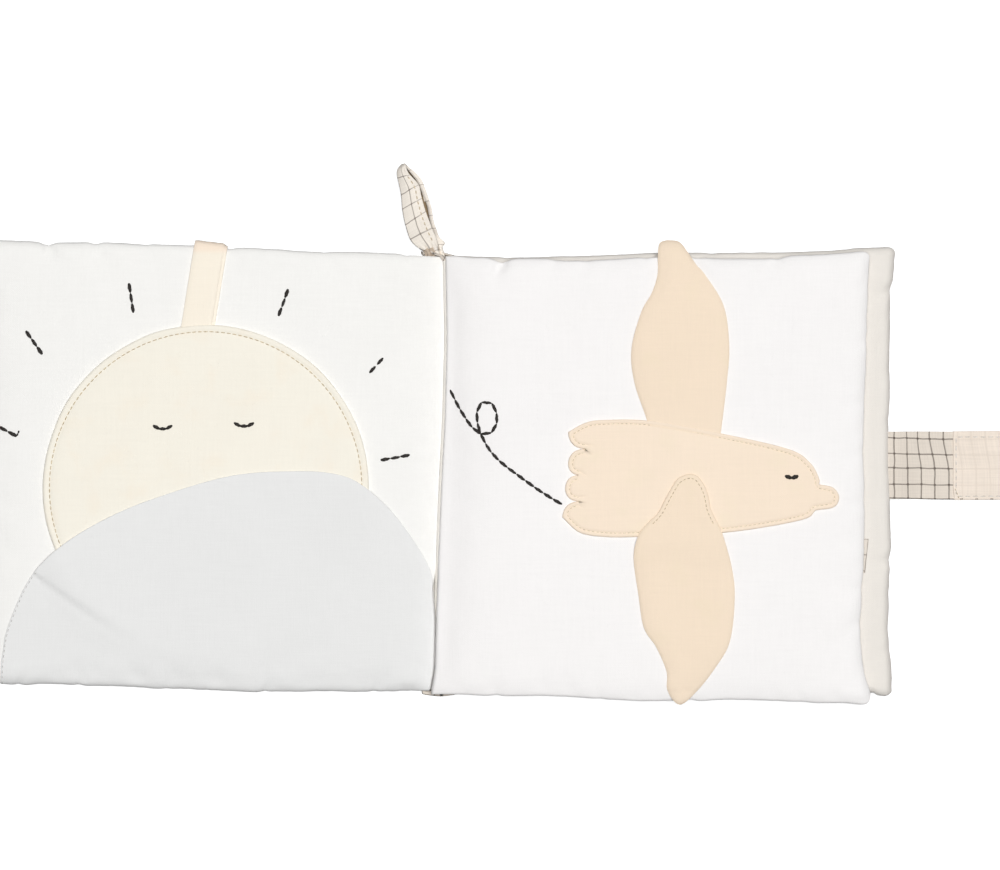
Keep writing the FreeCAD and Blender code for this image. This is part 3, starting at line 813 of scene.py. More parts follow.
    def fill(self, step=4.0):
        """Fill a coarse copy as cloth that its seams hold, and keep how far its top rises.

        The rise is capped, as wadding holds the two cloths together.
        """
        rows, columns = round(self.width / step) + 1, round(self.fore_height / step) + 1
        d, y = self.form(np.linspace(0, self.width, rows), np.linspace(0, 1, columns))
        self.filled = np.zeros((rows, columns))
        points, faces = self.closed(*[np.stack([self.x(d, y), y, skin(d, y)], -1)
                                      for skin in (self.upper, self.lower)])
        top = np.arange(rows * columns).reshape(rows, columns)
        seams = np.concatenate([top[0], top[-1], top[:, 0], top[:, -1],
                                np.arange(rows * columns, len(points))])
        gathered = 0.25 * (1 + waves(self.side * d, y, 18, self.seed + 9))
        edges = self.seams(d, y)
        for inset, along, puckers in edges:
            for place, deep in puckers:
                gathered = gathered + 1.2 * deep * bump(along - place, 8) * bump(inset, 12)
        near = np.minimum.reduce([edge[0] for edge in edges] + [d])
        gathered = np.clip(gathered * bump(near, 16), 0, 1)
        slack = np.concatenate([gathered.ravel(), np.zeros(len(points) - rows * columns)])
        moved = blown_up(points, faces, np.unique(seams), slack)
        risen = (moved - points)[:rows * columns, 2].reshape(rows, columns)
        up = LOFT * (1 - np.exp(-np.maximum(risen, 0) / 2.0))
        self.filled = np.where(risen > 0, up, 0.9 * (np.exp(np.minimum(risen, 0) / 1.2) - 1))

    def upper(self, distance, y, grow=0.0):
        low, top = self.skins(distance)
        middle = (low + top) / 2
        share = self.closing(distance, y, grow)
        high = top + grow - self.detail(distance, y) - self.loft(distance, y)
        return middle + (high - middle) * share

    def lower(self, distance, y):
        low, top = self.skins(distance)
        middle = (low + top) / 2
        if not self.rests_on:
            return middle + (low - middle) * self.closing(distance, y)
        low = self.rests_on.upper(distance, y) + CLEAR
        high = self.upper(distance, y)
        middle = np.minimum(middle, high)
        return np.minimum(middle + (low - middle) * self.closing(distance, y), high)

    def height(self, x, y, grow=0.0):
        """Height of the upper skin at x, y, grown by the cloth that lies on it."""
        x, y = np.asarray(x, float), np.asarray(y, float)
        return self.upper(np.clip(self.distance(x, y), -grow, self.width), y, grow)

    def make(self, name, material, slot, body, node, under=None):
        distances = spaced(self.width, 2.0, (0, 0.05, 0.2, 0.45, 0.8, 1.4, 2.2, 3.2, 4.5, 6.2, 8.2))
        ends = (0, 0.06, 0.25, 0.6, 1.1, 1.8, 2.7, 3.8, 5.2, 7.0, 9.0)
        d, y = self.form(distances, spaced(self.fore_height, 2.0, ends) / self.fore_height)
        x = self.x(d, y) - self.side * (self.fore_inset(y) * ease(d, self.width - 30, self.width))
        low = self.lower(d, y)
        if under:
            low = np.maximum(low, under(x, y))
        points, faces = self.closed(np.stack([x, y, self.upper(d, y)], -1),
                                    np.stack([x, y, low], -1))
        made = piece(name, points, faces, material, slot, body, [node])
        return made


FRONT = Leaf(
    side=-1, width=202.0, fore_height=198.0, fore_rise=5.0, ceiling=COVER_TOP, seed=11, taper=4.5,
    head_line=[(0, 0.4), (16, 0.47), (25, 0.57), (43, 0.45), (52, 0.42), (61, 0.75), (70, 1.36),
        (79, 1.54), (88, 1.4), (97, 0.6), (106, 0.9), (115, 0.9), (132, 0.9), (141, 1.5),
        (150, 1.73), (159, 1.54), (168, 1.1), (177, 0.8), (186, 0.4), (202, 0.3)],
    tail_line=[(0, 0), (34, 0), (45, 0), (52, -0.3), (61, -1.2), (70, -1.3), (79, -1.55), (88, -1),
        (97, -0.35), (106, 0), (115, -0.15), (123, -0.75), (132, -0.45), (141, 0), (150, 0.5),
        (159, 0.85), (168, 1.4), (177, 1.15), (186, 0.2), (202, 0.2)],
    head_puckers=[(50, 0.5), (130, 0.3), (152.5, 0.8), (174, 1.5), (14, 0.4), (92, 0.5)],
    tail_puckers=[(28, 0.4), (77, 0.5), (121, 0.3), (160, 0.5), (187, 0.4)])
BACK = Leaf(
    side=1, width=200.5, fore_height=199.4, fore_rise=1.5, ceiling=COVER_TOP, seed=23, taper=3.5,
    head_line=[(0, -0.1), (7, -0.2), (16, -0.7), (25, -0.65), (34, -0.8), (43, -0.5), (52, -0.25),
        (61, -0.6), (79, -0.9), (88, -0.85), (102, -0.6), (115, -0.35), (132, -0.4), (141, -0.55),
        (150, -1), (168, -1.4), (177, -1.1), (186, -0.2), (200, 0.5)],
    tail_line=[(0, 0), (180, 0), (190, -0.6), (197, -1.6), (200, -1.6)],
    fore_line=[(-100, 0), (-94, -0.2), (-87, 0.1), (-79, 0.5), (-70, 1.7), (-61, 1.3), (-52, 1.1),
        (-43, 0.7), (-34, 0.1), (-25, 0.4), (-16, 0.7), (-8, 0.9), (8, 1.4), (23, 1.3), (29, 1.1),
        (37, 0.7), (46, 0.9), (55, 0.95), (64, 0.7), (73, 0.65), (78, 0.35), (82, -0.35),
        (91, -1.1), (100, -1.7)],
    head_puckers=[(120, 0.5), (28, 0.4)],
    tail_puckers=[(60, 0.4), (140, 0.5)],
    fore_puckers=[(82, 1.1), (-38, 0.9), (-78, 0.5)])
PAGE = Leaf(
    side=1, width=189.5, fore_height=201.0, fore_rise=-1.8, ceiling=PAGE_TOP, seed=37, taper=6.0,
    spine_rise=-1.8, rests_on=BACK,
    head_line=[(0, 1.4), (5, 1.4), (16, 0.4), (45, 0.4), (55, -0.8), (67, -1.2), (90, -1),
        (125, -1.1), (148, -1.7), (156, -0.9), (169, -1), (187, 0.2), (190, 0.2)],
    tail_line=[(0, 0.1), (7, 0.2), (16, 0.4), (25, 0.6), (34, 1), (43, 1.3), (52, 0.8), (61, 0.25),
        (70, -0.6), (79, -0.7), (88, -0.5), (97, 0), (106, 0.5), (115, 0.1), (124, 0.25),
        (141, 0.3), (150, 0.6), (159, 0.6), (168, 0.4), (177, 0.3), (186, -0.6), (190, -0.6)],
    fore_line=[(-102, -0.8), (-97, -0.7), (-88, 2), (-70, 3.6), (-54, 2.9), (-41, 2.2), (-27, 1.9),
        (-9, 1.7), (3, 2.1), (23, 2.1), (44, 1.2), (64, 0.7), (84, 0.2), (98, -0.7), (100, -0.7)],
    head_puckers=[(26, 2.2), (50, 0.5), (64, 0.4), (90.5, 0.4), (113.5, 0.4), (149, 0.4)],
    tail_puckers=[(24, 0.5), (70, 0.4), (110, 0.5), (160, 0.4)],
    fore_puckers=[(60, 0.4), (33, 0.3), (10, 0.4), (-12, 0.3), (-50, 0.5), (-66, 0.4)],
    head_presses=[(95.5, 109.5, 0.68, 1.9)])

for leaf in (FRONT, BACK, PAGE):
    leaf.fill()

tape_low, tape_high = node_box("cover_tape")


def over_tape(x, y):
    """The front cover's underside is pressed in by the tape that is sewn on it."""
    room = tape_high[2] - 0.25
    for place, low, high in ((x, tape_low[0], tape_high[0]), (y, tape_low[1], tape_high[1])):
        room = room * ease(place, low - 2, low) * (1 - ease(place, high, high + 2))
    return room


FRONT.make("front_cover_padding", white_cloth, "page_cloth", "front", "front_cover", over_tape)
BACK.make("back_cover_padding", back_cloth, "back_cloth", "back", "back_cover")
PAGE.make("page_padding", page_cloth, "page_cloth", "back", "page")


# ---- Sun, ribbon and hill ----

arch = smooth(placed(HILL, -SPINE_GAP / 2 - HILL_WIDTH, HILL_FOOT, HILL_WIDTH, HILL_HEIGHT), 1.0)
near_spine = np.exp(-np.maximum(-SPINE_GAP / 2 - arch[:, 0], 0) / 10.0)
arch[:, 0] += lean(arch[:, 1]) * near_spine


def from_sun(x, y):
    return np.hypot(x - SUN_X, y - SUN_Y)


def pressed(x, y):
    """How much of its thickness the sun keeps: the pocket's cloth presses it into the cover."""
    arch_y = np.interp(x, arch[:, 0], arch[:, 1])
    return 0.98 - 0.5 * (1 - ease(y, arch_y - 42, arch_y - 4))


def sun_top(x, y, away):
    pucker = 0.07 * waves(np.arctan2(y - SUN_Y, x - SUN_X) * SUN_RADIUS, 0 * x, 6, 51)
    rim = SUN_THICKNESS * (0.42 + 0.5 * rise(away, 1.5))
    groove = (0.42 + pucker) * bump(away - SUN_INSET, 1.1)
    slack = 0.12 * (1 + waves(x, y, 34, 52)) * ease(away, 3, 20)
    swell = rim + 0.08 * SUN_THICKNESS * ease(away, 3, 12) - groove - slack
    return FRONT.height(x, y) + swell * (pressed(x, y) + 0.02)


def on_sun(x, y):
    return sun_top(x, y, SUN_RADIUS - from_sun(x, y))


def round_sun(radius):
    angles = np.linspace(0, 2 * math.pi, 460, endpoint=False)
    return np.stack([SUN_X + radius * np.cos(angles), SUN_Y + radius * np.sin(angles)], 1)


circle = round_sun(SUN_RADIUS)
circle += 0.25 * waves(*circle.T, 30, 53)[:, None] * (circle - [SUN_X, SUN_Y]) / SUN_RADIUS
points, faces = cut_out(circle, [0.15, 0.5, 1.0, 1.6, 2.2, 2.7, 3.1, 3.5, 4.0, 4.8], 2.2, sun_top,
                        lambda x, y, away: FRONT.height(x, y) + 0.02,
                        lambda x, y: FRONT.height(x, y) + 0.42 * SUN_THICKNESS)
sun = piece("sun_padding", points, faces, sun_cloth, "sun_cloth", "front", ["sun_disc"])

ring = round_sun(SUN_RADIUS - SUN_INSET)
sew("sun_topstitch", [np.concatenate([ring, ring[:1]])], on_sun, 2.58, 0.8, 0.26, pale_thread,
    "sun_cloth", "front")


def ribbon():
    """Folded tape from under the sun's rim to the cover's head seam."""
    sine, cosine = math.sin(math.radians(RIBBON_LEAN)), math.cos(math.radians(RIBBON_LEAN))
    half, rows, turned, reach = RIBBON_WIDTH / 2, 30, 12, 3.4
    across = np.concatenate([[-half, -7.3, -7.0, -6.6], np.linspace(-6.0, 5.0, 12),
                             [5.4, 5.7, 6.0, 6.5, 7.0, 7.3, half]])
    foot_y = SUN_Y + math.sqrt(SUN_RADIUS ** 2 - RIBBON_OFFSET ** 2) - 5.0 - across * sine
    foot_x = SUN_X + RIBBON_OFFSET + across * cosine

    def at(run):
        return foot_x + run * sine, foot_y + run * cosine
    run = 30.0
    for _ in range(4):
        x, y = at(run)
        run = run + (FRONT.edges(FRONT.distance(x, y))[1] - y) / cosine
    last = run + 1.9 - 1.2 * ease(across, 4.5, 7.0)
    crown = 0.35 * ease(-abs(across + 0.6), -6.8, -5.4)
    grid = []
    for k in range(rows + turned):
        if k < rows:
            x, y = at((last - reach) * k / rows)
            z = FRONT.height(x, y, 0.5)
        else:
            turn = math.pi / 2 * (1 - (k - rows) / (turned - 1))
            x, y = at(last - reach * (1 - math.cos(turn)))
            middle = sum(FRONT.skins(FRONT.distance(x, y))) / 2
            z = middle + (FRONT.height(*at(last - reach - 0.3), 0.5) - middle) * math.sin(turn)
        z = z + crown - 0.5 * ease(across, 5.2, 6.0) * (1 - ease(k, 28, 36))
        grid.append(np.stack([x, y, z], -1))
    return strip("sun_ribbon_cloth", np.array(grid), RIBBON_THICKNESS, ribbon_cloth,
                 "ribbon_cloth", "front", ["sun_ribbon"])


sun_ribbon = ribbon()


def hill_height(x, y, grow):
    """The hill's cloth lies on the cover and climbs over the sun."""
    ground = FRONT.height(x, y, grow)
    over = SUN_THICKNESS * pressed(x, y)
    over = over * (1 - ease(from_sun(x, y), SUN_RADIUS - 1, SUN_RADIUS + 16))
    along = (CREASE_END - CREASE_START) / np.linalg.norm(CREASE_END - CREASE_START)
    right, up = x - CREASE_START[0], y - CREASE_START[1]
    t = right * along[0] + up * along[1]
    off = up * along[0] - right * along[1] + 0.02 * np.maximum(t, 0) * np.sin(t / 14)
    wide = 0.6 + 0.045 * np.clip(t, 0, 40)
    step = ease(-off, -wide, wide) * np.exp(-np.maximum(-off - wide, 0) / 9)
    crease = 1.05 * step * ease(t, -6, 2) - 0.95 * bump(off, 13) * ease(t, -16, 0)
    up = y - FRONT.edges(FRONT.distance(x, y))[0]
    slack = 0.55 * waves(x, 0.35 * y, 19, 61) * bump(up - 5.5, 4) * ease(up, 0, 3)
    slack = slack - 0.3 * bump(up, 5.0) - 0.22 * (1 + waves(x, y, 55, 62)) * ease(up, 4, 20)
    return ground + over - crease * (1 - ease(t, 24, 60)) + np.maximum(slack, -0.55)


def hill():
    along = np.linspace(0, FRONT.side * arch[0][0] - SPINE_GAP / 2, 195)
    tail = FRONT.edges(along)[0] - 0.45
    bottom = np.stack([FRONT.x(along, tail), tail], 1)
    side_y = np.linspace(arch[-1][1], bottom[0][1], 48)[1:-1]
    side = np.stack([FRONT.x(0 * side_y, side_y) + 0.35, side_y], 1)
    left_y = np.linspace(bottom[-1][1], arch[0][1], 5)[1:-1]
    left = np.stack([np.full(3, arch[0][0]), left_y], 1)

    def top(x, y, away):
        return hill_height(x, y, HILL_THICKNESS) - HILL_THICKNESS * 0.5 * (1 - rise(away, 0.7))
    return cut_out(np.concatenate([arch, side, bottom, left]),
                   [0.12, 0.35, 0.7, 1.2, 1.9, 2.8, 3.9], 1.9, top,
                   lambda x, y, away: hill_height(x, y, 0.02),
                   lambda x, y: hill_height(x, y, 0.5 * HILL_THICKNESS))


hill_cloth_piece = piece("hill_pocket_cloth", *hill(), hill_cloth, "hill_cloth", "front",
                         ["hill_pocket"])

sew("hill_topstitch", [arch[arch[:, 0] < CREASE_START[0] + 0.5] + [0.75, -0.25]],
    lambda x, y: hill_height(x, y, HILL_THICKNESS) - 0.12, 2.3, 0.72, 0.2, grey_thread,
    "hill_cloth", "front")


# ---- Bird ----

def arc_chain(points, bow):
    """Scallops: a bowed arc between each two points."""
    out = []
    t = np.linspace(0, 1, 12, endpoint=False)[:, None]
    for a, b in zip(points, points[1:]):
        push = bow * np.linalg.norm(b - a)
        middle = (a + b) / 2 + np.array([-push, push if b[0] > a[0] else -push])
        out.append((1 - t) ** 2 * a + 2 * t * (1 - t) * (2 * middle - (a + b) / 2) + t ** 2 * b)
    return np.concatenate(out + [points[-1:]])


bird_place = BIRD_X, BIRD_Y, BIRD_LENGTH, BIRD_HEIGHT
parts = [smooth(placed(shares, *bird_place), 0.8) for shares in BIRD_OUTLINE]
parts.append(resampled(arc_chain(placed(BIRD_TAIL, *bird_place), 0.16), 0.7))
bird_outline = np.concatenate([part[:-1] for part in parts])[::-1]
upper_outline = smooth(placed(UPPER_WING, UPPER_WING_X, UPPER_WING_Y, 43.5, 90.0))[::-1]
lower_outline = smooth_loop(placed(LOWER_WING, LOWER_WING_X, LOWER_WING_Y, 45.0, -102.7))[::-1]


def page_height(x, y):
    """Height of the page, kept level past its head and tail edges."""
    tail, head = PAGE.edges(PAGE.distance(x, y))
    past = np.maximum(tail + 4 - y, 0) + np.maximum(y - head + 4, 0)
    return PAGE.height(x, np.clip(y, tail + 4, head - 4)) - 0.02 * np.maximum(past - 3, 0) ** 2


def over_wing(x, y):
    """How much of the upper wing lies under the bird's body at a point."""
    spots = cloud(x, y)
    away = from_outline(spots, upper_outline)
    return ease(np.where(inside(spots, upper_outline), away, -away), -1.2, 0.6)


def body_top(x, y, away):
    plain = BIRD_THICKNESS * (0.35 + 0.5 * rise(away, 1.0))
    raised = np.maximum(plain, (WING_THICKNESS + 0.35) * over_wing(x, y))
    groove = 0.5 * bump(away - BIRD_SEAM, 0.5)
    crown = 0.13 * BIRD_THICKNESS * ease(away, 2.2, 9)
    slack = 0.1 * (1 + waves(x, y, 26, 71)) * ease(away, 3, 9)
    return page_height(x, y) + raised + crown - groove - slack


def body_rim(x, y):
    return page_height(x, y) + 0.35 * BIRD_THICKNESS + 0.6 * over_wing(x, y)


points, faces = cut_out(bird_outline, [0.12, 0.4, 0.8, 1.2, 1.55, 1.9, 2.25, 2.7, 3.4], 1.6,
                        body_top, lambda x, y, away: page_height(x, y) + 0.02, body_rim)
bird = piece("bird_body_padding", points, faces, bird_cloth, "bird_cloth", "back", ["bird_body"])

body_seam = inner_line(bird_outline, BIRD_SEAM)
body_seam = body_seam[from_outline(body_seam, bird_outline) > BIRD_SEAM - 0.15]
sew("bird_topstitch", [np.concatenate([body_seam, body_seam[:1]])], at_inset(body_top, BIRD_SEAM),
    2.0, 0.7, 0.17, peach_thread, "bird_cloth", "back")


def wing_profile(away):
    """The wings' thin wadding rolls off towards their edges."""
    return WING_THICKNESS * (0.05 + 1.1 * rise(away, 2.1))


def puffed(x, y, outline):
    """Extra loft in the loose part of a wing."""
    return 0.75 * ease(from_outline(cloud(x, y), outline), 0.3, 6.0)


def curl(x, y, middle, out):
    """A wing's left edge curls up a little from the page, more so far out."""
    return 0.5 * ease(middle - x, 6, 22) * out * (0.6 + 0.4 * np.sin(y / 7.0))


def upper_base(x, y):
    lifted = curl(x, y, UPPER_WING_X, ease(y, 30, 70)) + 0.5 * ease(y, 85, 104)
    return page_height(x, y) + lifted + puffed(x, y, upper_outline) * ease(y, 24, 40)


def lower_base(x, y):
    """The lower wing leaves the body and comes down to the page."""
    leave = BIRD_Y - BIRD_HEIGHT / 2
    out = 1 - ease(y, -85, -45)
    lifted = curl(x, y, LOWER_WING_X, out) + 0.35 * out * ease(x, 120, 131)
    loose = puffed(x, y, lower_outline) * (1 - ease(y, leave - 14, leave + 4))
    on_body = 0.97 * BIRD_THICKNESS * ease(y, leave - 15, leave + 1.0)
    return page_height(x, y) + on_body + lifted + loose


def upper_top(x, y, away):
    return upper_base(x, y) + wing_profile(away)


def lower_top(x, y, away):
    groove = bump(away - WING_SEAM, 0.5) - 0.4 * ease(-away, -1.6, -0.4)
    root = ease(y, BIRD_Y - 26, BIRD_Y - 14)
    return lower_base(x, y) + wing_profile(away) - 0.25 * root * groove


for node, outline, top, base in (("wing_upper", upper_outline, upper_top, upper_base),
                                 ("wing_lower", lower_outline, lower_top, lower_base)):
    points, faces = cut_out(outline, [0.12, 0.4, 0.8, 1.3, 2.0, 2.8, 3.8], 1.9, top,
                            lambda x, y, away: base(x, y) + 0.03,
                            lambda x, y: base(x, y) + 0.4 * WING_THICKNESS)
    wing = piece(f"{node}_padding", points, faces, wing_cloth, "wing_cloth", "back", [node])

root_line = inner_line(lower_outline, WING_SEAM)
root_line = root_line[root_line[:, 1] > -22.5]
steps = np.linalg.norm(np.diff(root_line, axis=0), axis=1)
if steps.max() > 3:
    root_line = np.roll(root_line, -(steps.argmax() + 1), axis=0)
sew("wing_topstitch", [root_line], at_inset(lower_top, WING_SEAM), 1.95, 0.72, 0.22, pale_thread,
    "wing_cloth", "back")


# ---- Embroidery ----

for number, (start, end, count) in enumerate(RAYS, 1):
    loose = number == 4
    embroider(f"ray_{number}", [start, end], FRONT.height, count, "front", 0.74,
              0.8 if loose else 0.97, 0.1 if loose else 0.3)

sew("ray_5_thread_end", [[(-188.9, 17.0), (-187.9, 19.4)]], FRONT.height, 2.6, 1.0, 0.42,
    dark_thread, "floss", "front", sides=8, rings=7)

reach = BIRD_X - BIRD_LENGTH / 2
flight = smooth([(u * reach, BIRD_Y + v * reach) for u, v in FLIGHT_PATH], 0.5)
flight_length = np.linalg.norm(np.diff(flight, axis=0), axis=1).sum()
embroider("flight_path", flight, PAGE.height, round(flight_length / LONG_STITCH), "back")


def closed_eye(node, x, y, width, sag, height, body, radius=0.8):
    arc = smooth([(x + along * width, y + up * sag) for along, up in (
        (-1 / 2, 1 / 2), (-1 / 4, -1 / 3), (0, -1 / 2), (1 / 4, -1 / 3), (1 / 2, 1 / 2))], 0.3)
    count = max(2, round(width / LONG_STITCH * 1.7))
    embroider(node, arc, height, count, body, radius, 1.16)


closed_eye("sun_eye_left", SUN_X - 0.263 * SUN_RADIUS, SUN_Y + 0.371 * SUN_RADIUS, 8.3, 1.5,
           on_sun, "front")
closed_eye("sun_eye_right", SUN_X + 0.235 * SUN_RADIUS, SUN_Y + 0.387 * SUN_RADIUS, 8.6, 1.5,
           on_sun, "front")
closed_eye("bird_eye", BIRD_X + 0.333 * BIRD_LENGTH - 0.7, BIRD_Y + 0.021 * BIRD_HEIGHT - 0.5,
           5.6, 0.9, at_inset(body_top, 9.0), "back", 0.95)


# ---- Spine cloth, loop, strap and tapes ----

def metric_uv(grid):
    """UVs in millimetres, measured along a grid's rows and columns."""
    along = np.linalg.norm(np.diff(grid, axis=0), axis=2).cumsum(0)
    across = np.linalg.norm(np.diff(grid, axis=1), axis=2).cumsum(1)
    return np.stack([np.pad(along, ((1, 0), (0, 0))), np.pad(across, ((0, 0), (1, 0)))], -1)


def paint(made, material, chosen):
    """One more material, for the faces that are chosen."""
    made.data.materials.append(material)
    slot = len(made.data.materials) - 1
    for face in made.data.polygons:
        if chosen(face):
            face.material_index = slot


def spine():
    """Checked cloth that joins the covers. Its plain lining shows as a pleat in the gutter."""
    low, high = node_box("spine_cloth")
    half, reach = (high[0] - low[0]) / 2, high[1]
    side = [(0.5, 5.2), (0.9, 3.8), (1.6, 1.2), (4.5, 0.4), (9, 0.35), (half, 0.5)]
    profile = smooth([(-x, z) for x, z in side[::-1]] + [(0.0, 5.6)] + side, 0.6)
    x, height = profile[:, 0][:, None], profile[:, 1][:, None]
    y = (spaced(2 * reach, 2.2) - reach)[None, :]
    end = ease(abs(y), reach - 9, reach - 1)
    last = ease(abs(y), reach - 4, reach - 1)
    top = np.where(y > 0, end, 0.0)
    foot = end - top
    full = (0.45 + 0.77 * ease(y, -66, -28)) * (1 - 0.6 * last)
    middle = np.maximum(lean(y), -2.0) * (1 - last) - 3.9 * last * (y > 0)
    across = x * (1 - end * (0.42 + 0.24 * top)) + middle * np.maximum(bump(x, 7), end)
    wavy = 0.6 * bump(x - 11.5, 2.6) - 0.8 * np.abs(x / half) + 0.4 * np.sin(x * 0.7)
    along = y + top * wavy + foot * (0.9 + 1.1 * (x / half) ** 2)
    pleat = np.abs(x) < 1.2
    height = height * (1 - 0.5 * end * ~pleat) * np.where(pleat, full, 1.0)
    fold = (top * 1.1 * (1 + np.sin(x * 0.85 + 0.4 * y + 1.0))
            + foot * (1.6 + 0.5 * np.sin(x * 0.45 + 1.0)))
    grid = np.stack([across, along, np.maximum(height + fold, 0.28)], -1)
    made = strip("spine_cloth_sheet", grid, SPINE_THICKNESS, grid_cloth, "grid_cloth", None,
                 ["spine_cloth"], metric_uv(grid))

    def in_gutter(face):
        x, y, _ = np.array(face.center) / MM
        return abs(x - lean(y)) < 2.6 and abs(y) < reach - 6 and face.normal.z > 0
    paint(made, lining_cloth, in_gutter)
    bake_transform(made)


spine()
sew("spine_thread_end", [[(-0.1, -98.9), (1.0, -98.9)]], lambda x, y: 3.4, 1.1, 1.0, 0.5,
    dark_thread, "floss", "back", sides=8, rings=7)


def hanging_loop():
    """Tape folded on itself askew: its halves bow apart and meet, pinched, at the spine cloth."""
    shape = smooth([(LOOP_LENGTH * way, *left, *upper, *lower)
                    for way, left, upper, lower in LOOP], 0.4)
    run = np.arange(0, 0.95, 0.016)
    turn = np.linspace(0, math.pi, 11)
    share = np.concatenate([run, 0.95 + 0.05 * np.sin(turn), run[::-1]])[:, None]
    half = np.concatenate([np.ones(len(run)), (1 + np.cos(turn)) / 2, np.zeros(len(run))])[:, None]
    across = np.array([0, 0.006, 0.03, *np.linspace(0.07, 0.93, 19), 0.97, 0.994, 1])[None, :]
    left, upper, lower = [
        np.stack([np.interp(LOOP_LENGTH * share, shape[:, 0], shape[:, k + j]) for j in (0, 1)], -1)
        for k in (1, 3, 5)]
    inset = left + 0.08 * (lower - left)
    over = left + (upper - left) * across[..., None]
    under = inset + (lower - inset) * across[..., None]
    plan = under + (over - under) * half[..., None]
    flap = 2.2 * bump(share - 0.165, 0.025) * ease(across, 0.93, 1.0) * (1 - half)
    plan[..., 0] += flap
    loose = ease(share, 0.08, 0.3)
    bow = 0.9 * (1 - (2 * across - 1) ** 2) + 2.0 * (across - 0.5)
    top = (2.6 + 5.4 * ease(share, 0.0, 0.45) + loose * bow
           - 0.2 * bump(across - LOOP_SEAM, 0.05) * loose)
    lip = 0.89 - 0.12 * ease(share, 0.5, 0.95)
    rim = (3.7 * ease(across - lip, -0.03, 0.03) * ease(share, 0.15, 0.35)
           * (1 - 0.35 * ease(share, 0.85, 1.0)))
    bottom = 1.3 + 1.2 * ease(share, 0.0, 0.4) + rim
    crumple = (1 - ease(share, 0.06, 0.2)) * np.sin(21 * across + 2 * half + 14 * share)
    z = bottom + (top - bottom) * half + 0.9 * crumple
    grid = np.concatenate([plan, np.maximum(z, 0.6)[..., None]], -1)
    place = np.interp(share, *zip(*LOOP_CHECK))
    after = np.arange(len(share))[:, None] > len(share) / 2
    place = np.where(after, 2 * LOOP_CHECK[-1][1] - place, place)
    weft = np.interp(across, [0, 0.02, 0.47, 1], [-0.3, 0.0, 5.75, 11.0])
    uv = np.stack(np.broadcast_arrays(weft, place), -1)
    band = strip("hanging_loop_tape", grid, LOOP_THICKNESS, loop_cloth, "grid_cloth", "back",
                 ["hanging_loop"], uv)
    columns = across.shape[1] - 1
    skin = (len(share) - 1) * columns

    def spot(face):
        """A face's row, and its share of the way along and across the tape."""
        row, column = divmod(face.index % skin, columns)
        return row, share[row, 0], across[0, column]

    def in_slit_painted_shade(face):
        row, way, side = spot(face)
        return face.index < skin and way > 0.1 and 0.1 < side < lip[row, 0] - 0.03

    def shaded(face):
        row, way, side = spot(face)
        return face.index < 2 * skin and way < 0.11 and side < 0.62
    # Painted shade: the inner faces deep in the slit take loop_inside_painted_shade's dark brown,
    # and the pinched foot takes loop_shade.
    paint(band, loop_inside_painted_shade, in_slit_painted_shade)
    paint(band, loop_shade, shaded)

    column = int(np.argmin(np.abs(across - LOOP_SEAM)))
    seam = (grid - LOOP_THICKNESS / 2 * normals(grid))[10:len(run) - 4, column]

    def on_tape(px, py):
        return seam[np.argmin(np.hypot(seam[:, 0] - px, seam[:, 1] - py)), 2]
    sew("loop_topstitch", [seam[:, :2]], on_tape, 2.4, 0.65, 0.28, pale_thread, "grid_cloth",
        "back")


hanging_loop()


def strap_uv(x, y):
    """The check's place on the strap. Its cross lines bend where the cloth was pulled askew."""
    skew = 2.35 * ease(x, 203, 219) * ease(y, 0, 18)
    tilt = 0.3 * np.clip((x - 215) / 13, -1, 1)
    lines = [-17.5, -11.1, -4.8, 2.6, 8.8, 15.9, 22.5]
    along = np.interp(y + tilt, lines, np.arange(-3, 4) * CHECK[1])
    return np.stack([(x - 203.05 + skew) * 0.931 + 201.25, along], -1)


def strap_pull(x, y):
    """How far the strap's long edges stray from straight."""
    return (0.3 * waves(x, 0 * y, 40, 82) - 0.5 * ease(y, -2, 16)
            + 0.35 * (1 - ease(y, -10, 0)) * (1 - ease(x, 205, 222)))


def strap_wave(x, y):
    """How far the strap bows up from the table."""
    return 0.22 * (1 + waves(x, 0.4 * y, 30, 81)) * (1 - ease(x, 287, 300))


def strap():
    """Strap sewn into the back cover's fore-edge, that comes down and lies on the table."""
    low, high = node_box("strap_band")
    low[0] += 2
    x, y = flat_grid(low, high, (1.6, 1.4), STRAP_ENDS)
    sewn_in = (COVER_TOP - 1.2) / 2 * (1 - ease(x, FORE_EDGE + 0.5, FORE_EDGE + 15))
    wave = strap_wave(x, y) * ease(x, FORE_EDGE + 4, FORE_EDGE + 20)
    grid = np.stack([x, y + strap_pull(x, y), sewn_in + 0.6 + wave], -1)
    made = strip("strap_band_cloth", grid, STRAP_THICKNESS, grid_cloth, "grid_cloth", "back",
                 ["strap_band"], strap_uv(grid[..., 0], grid[..., 1]))


strap()


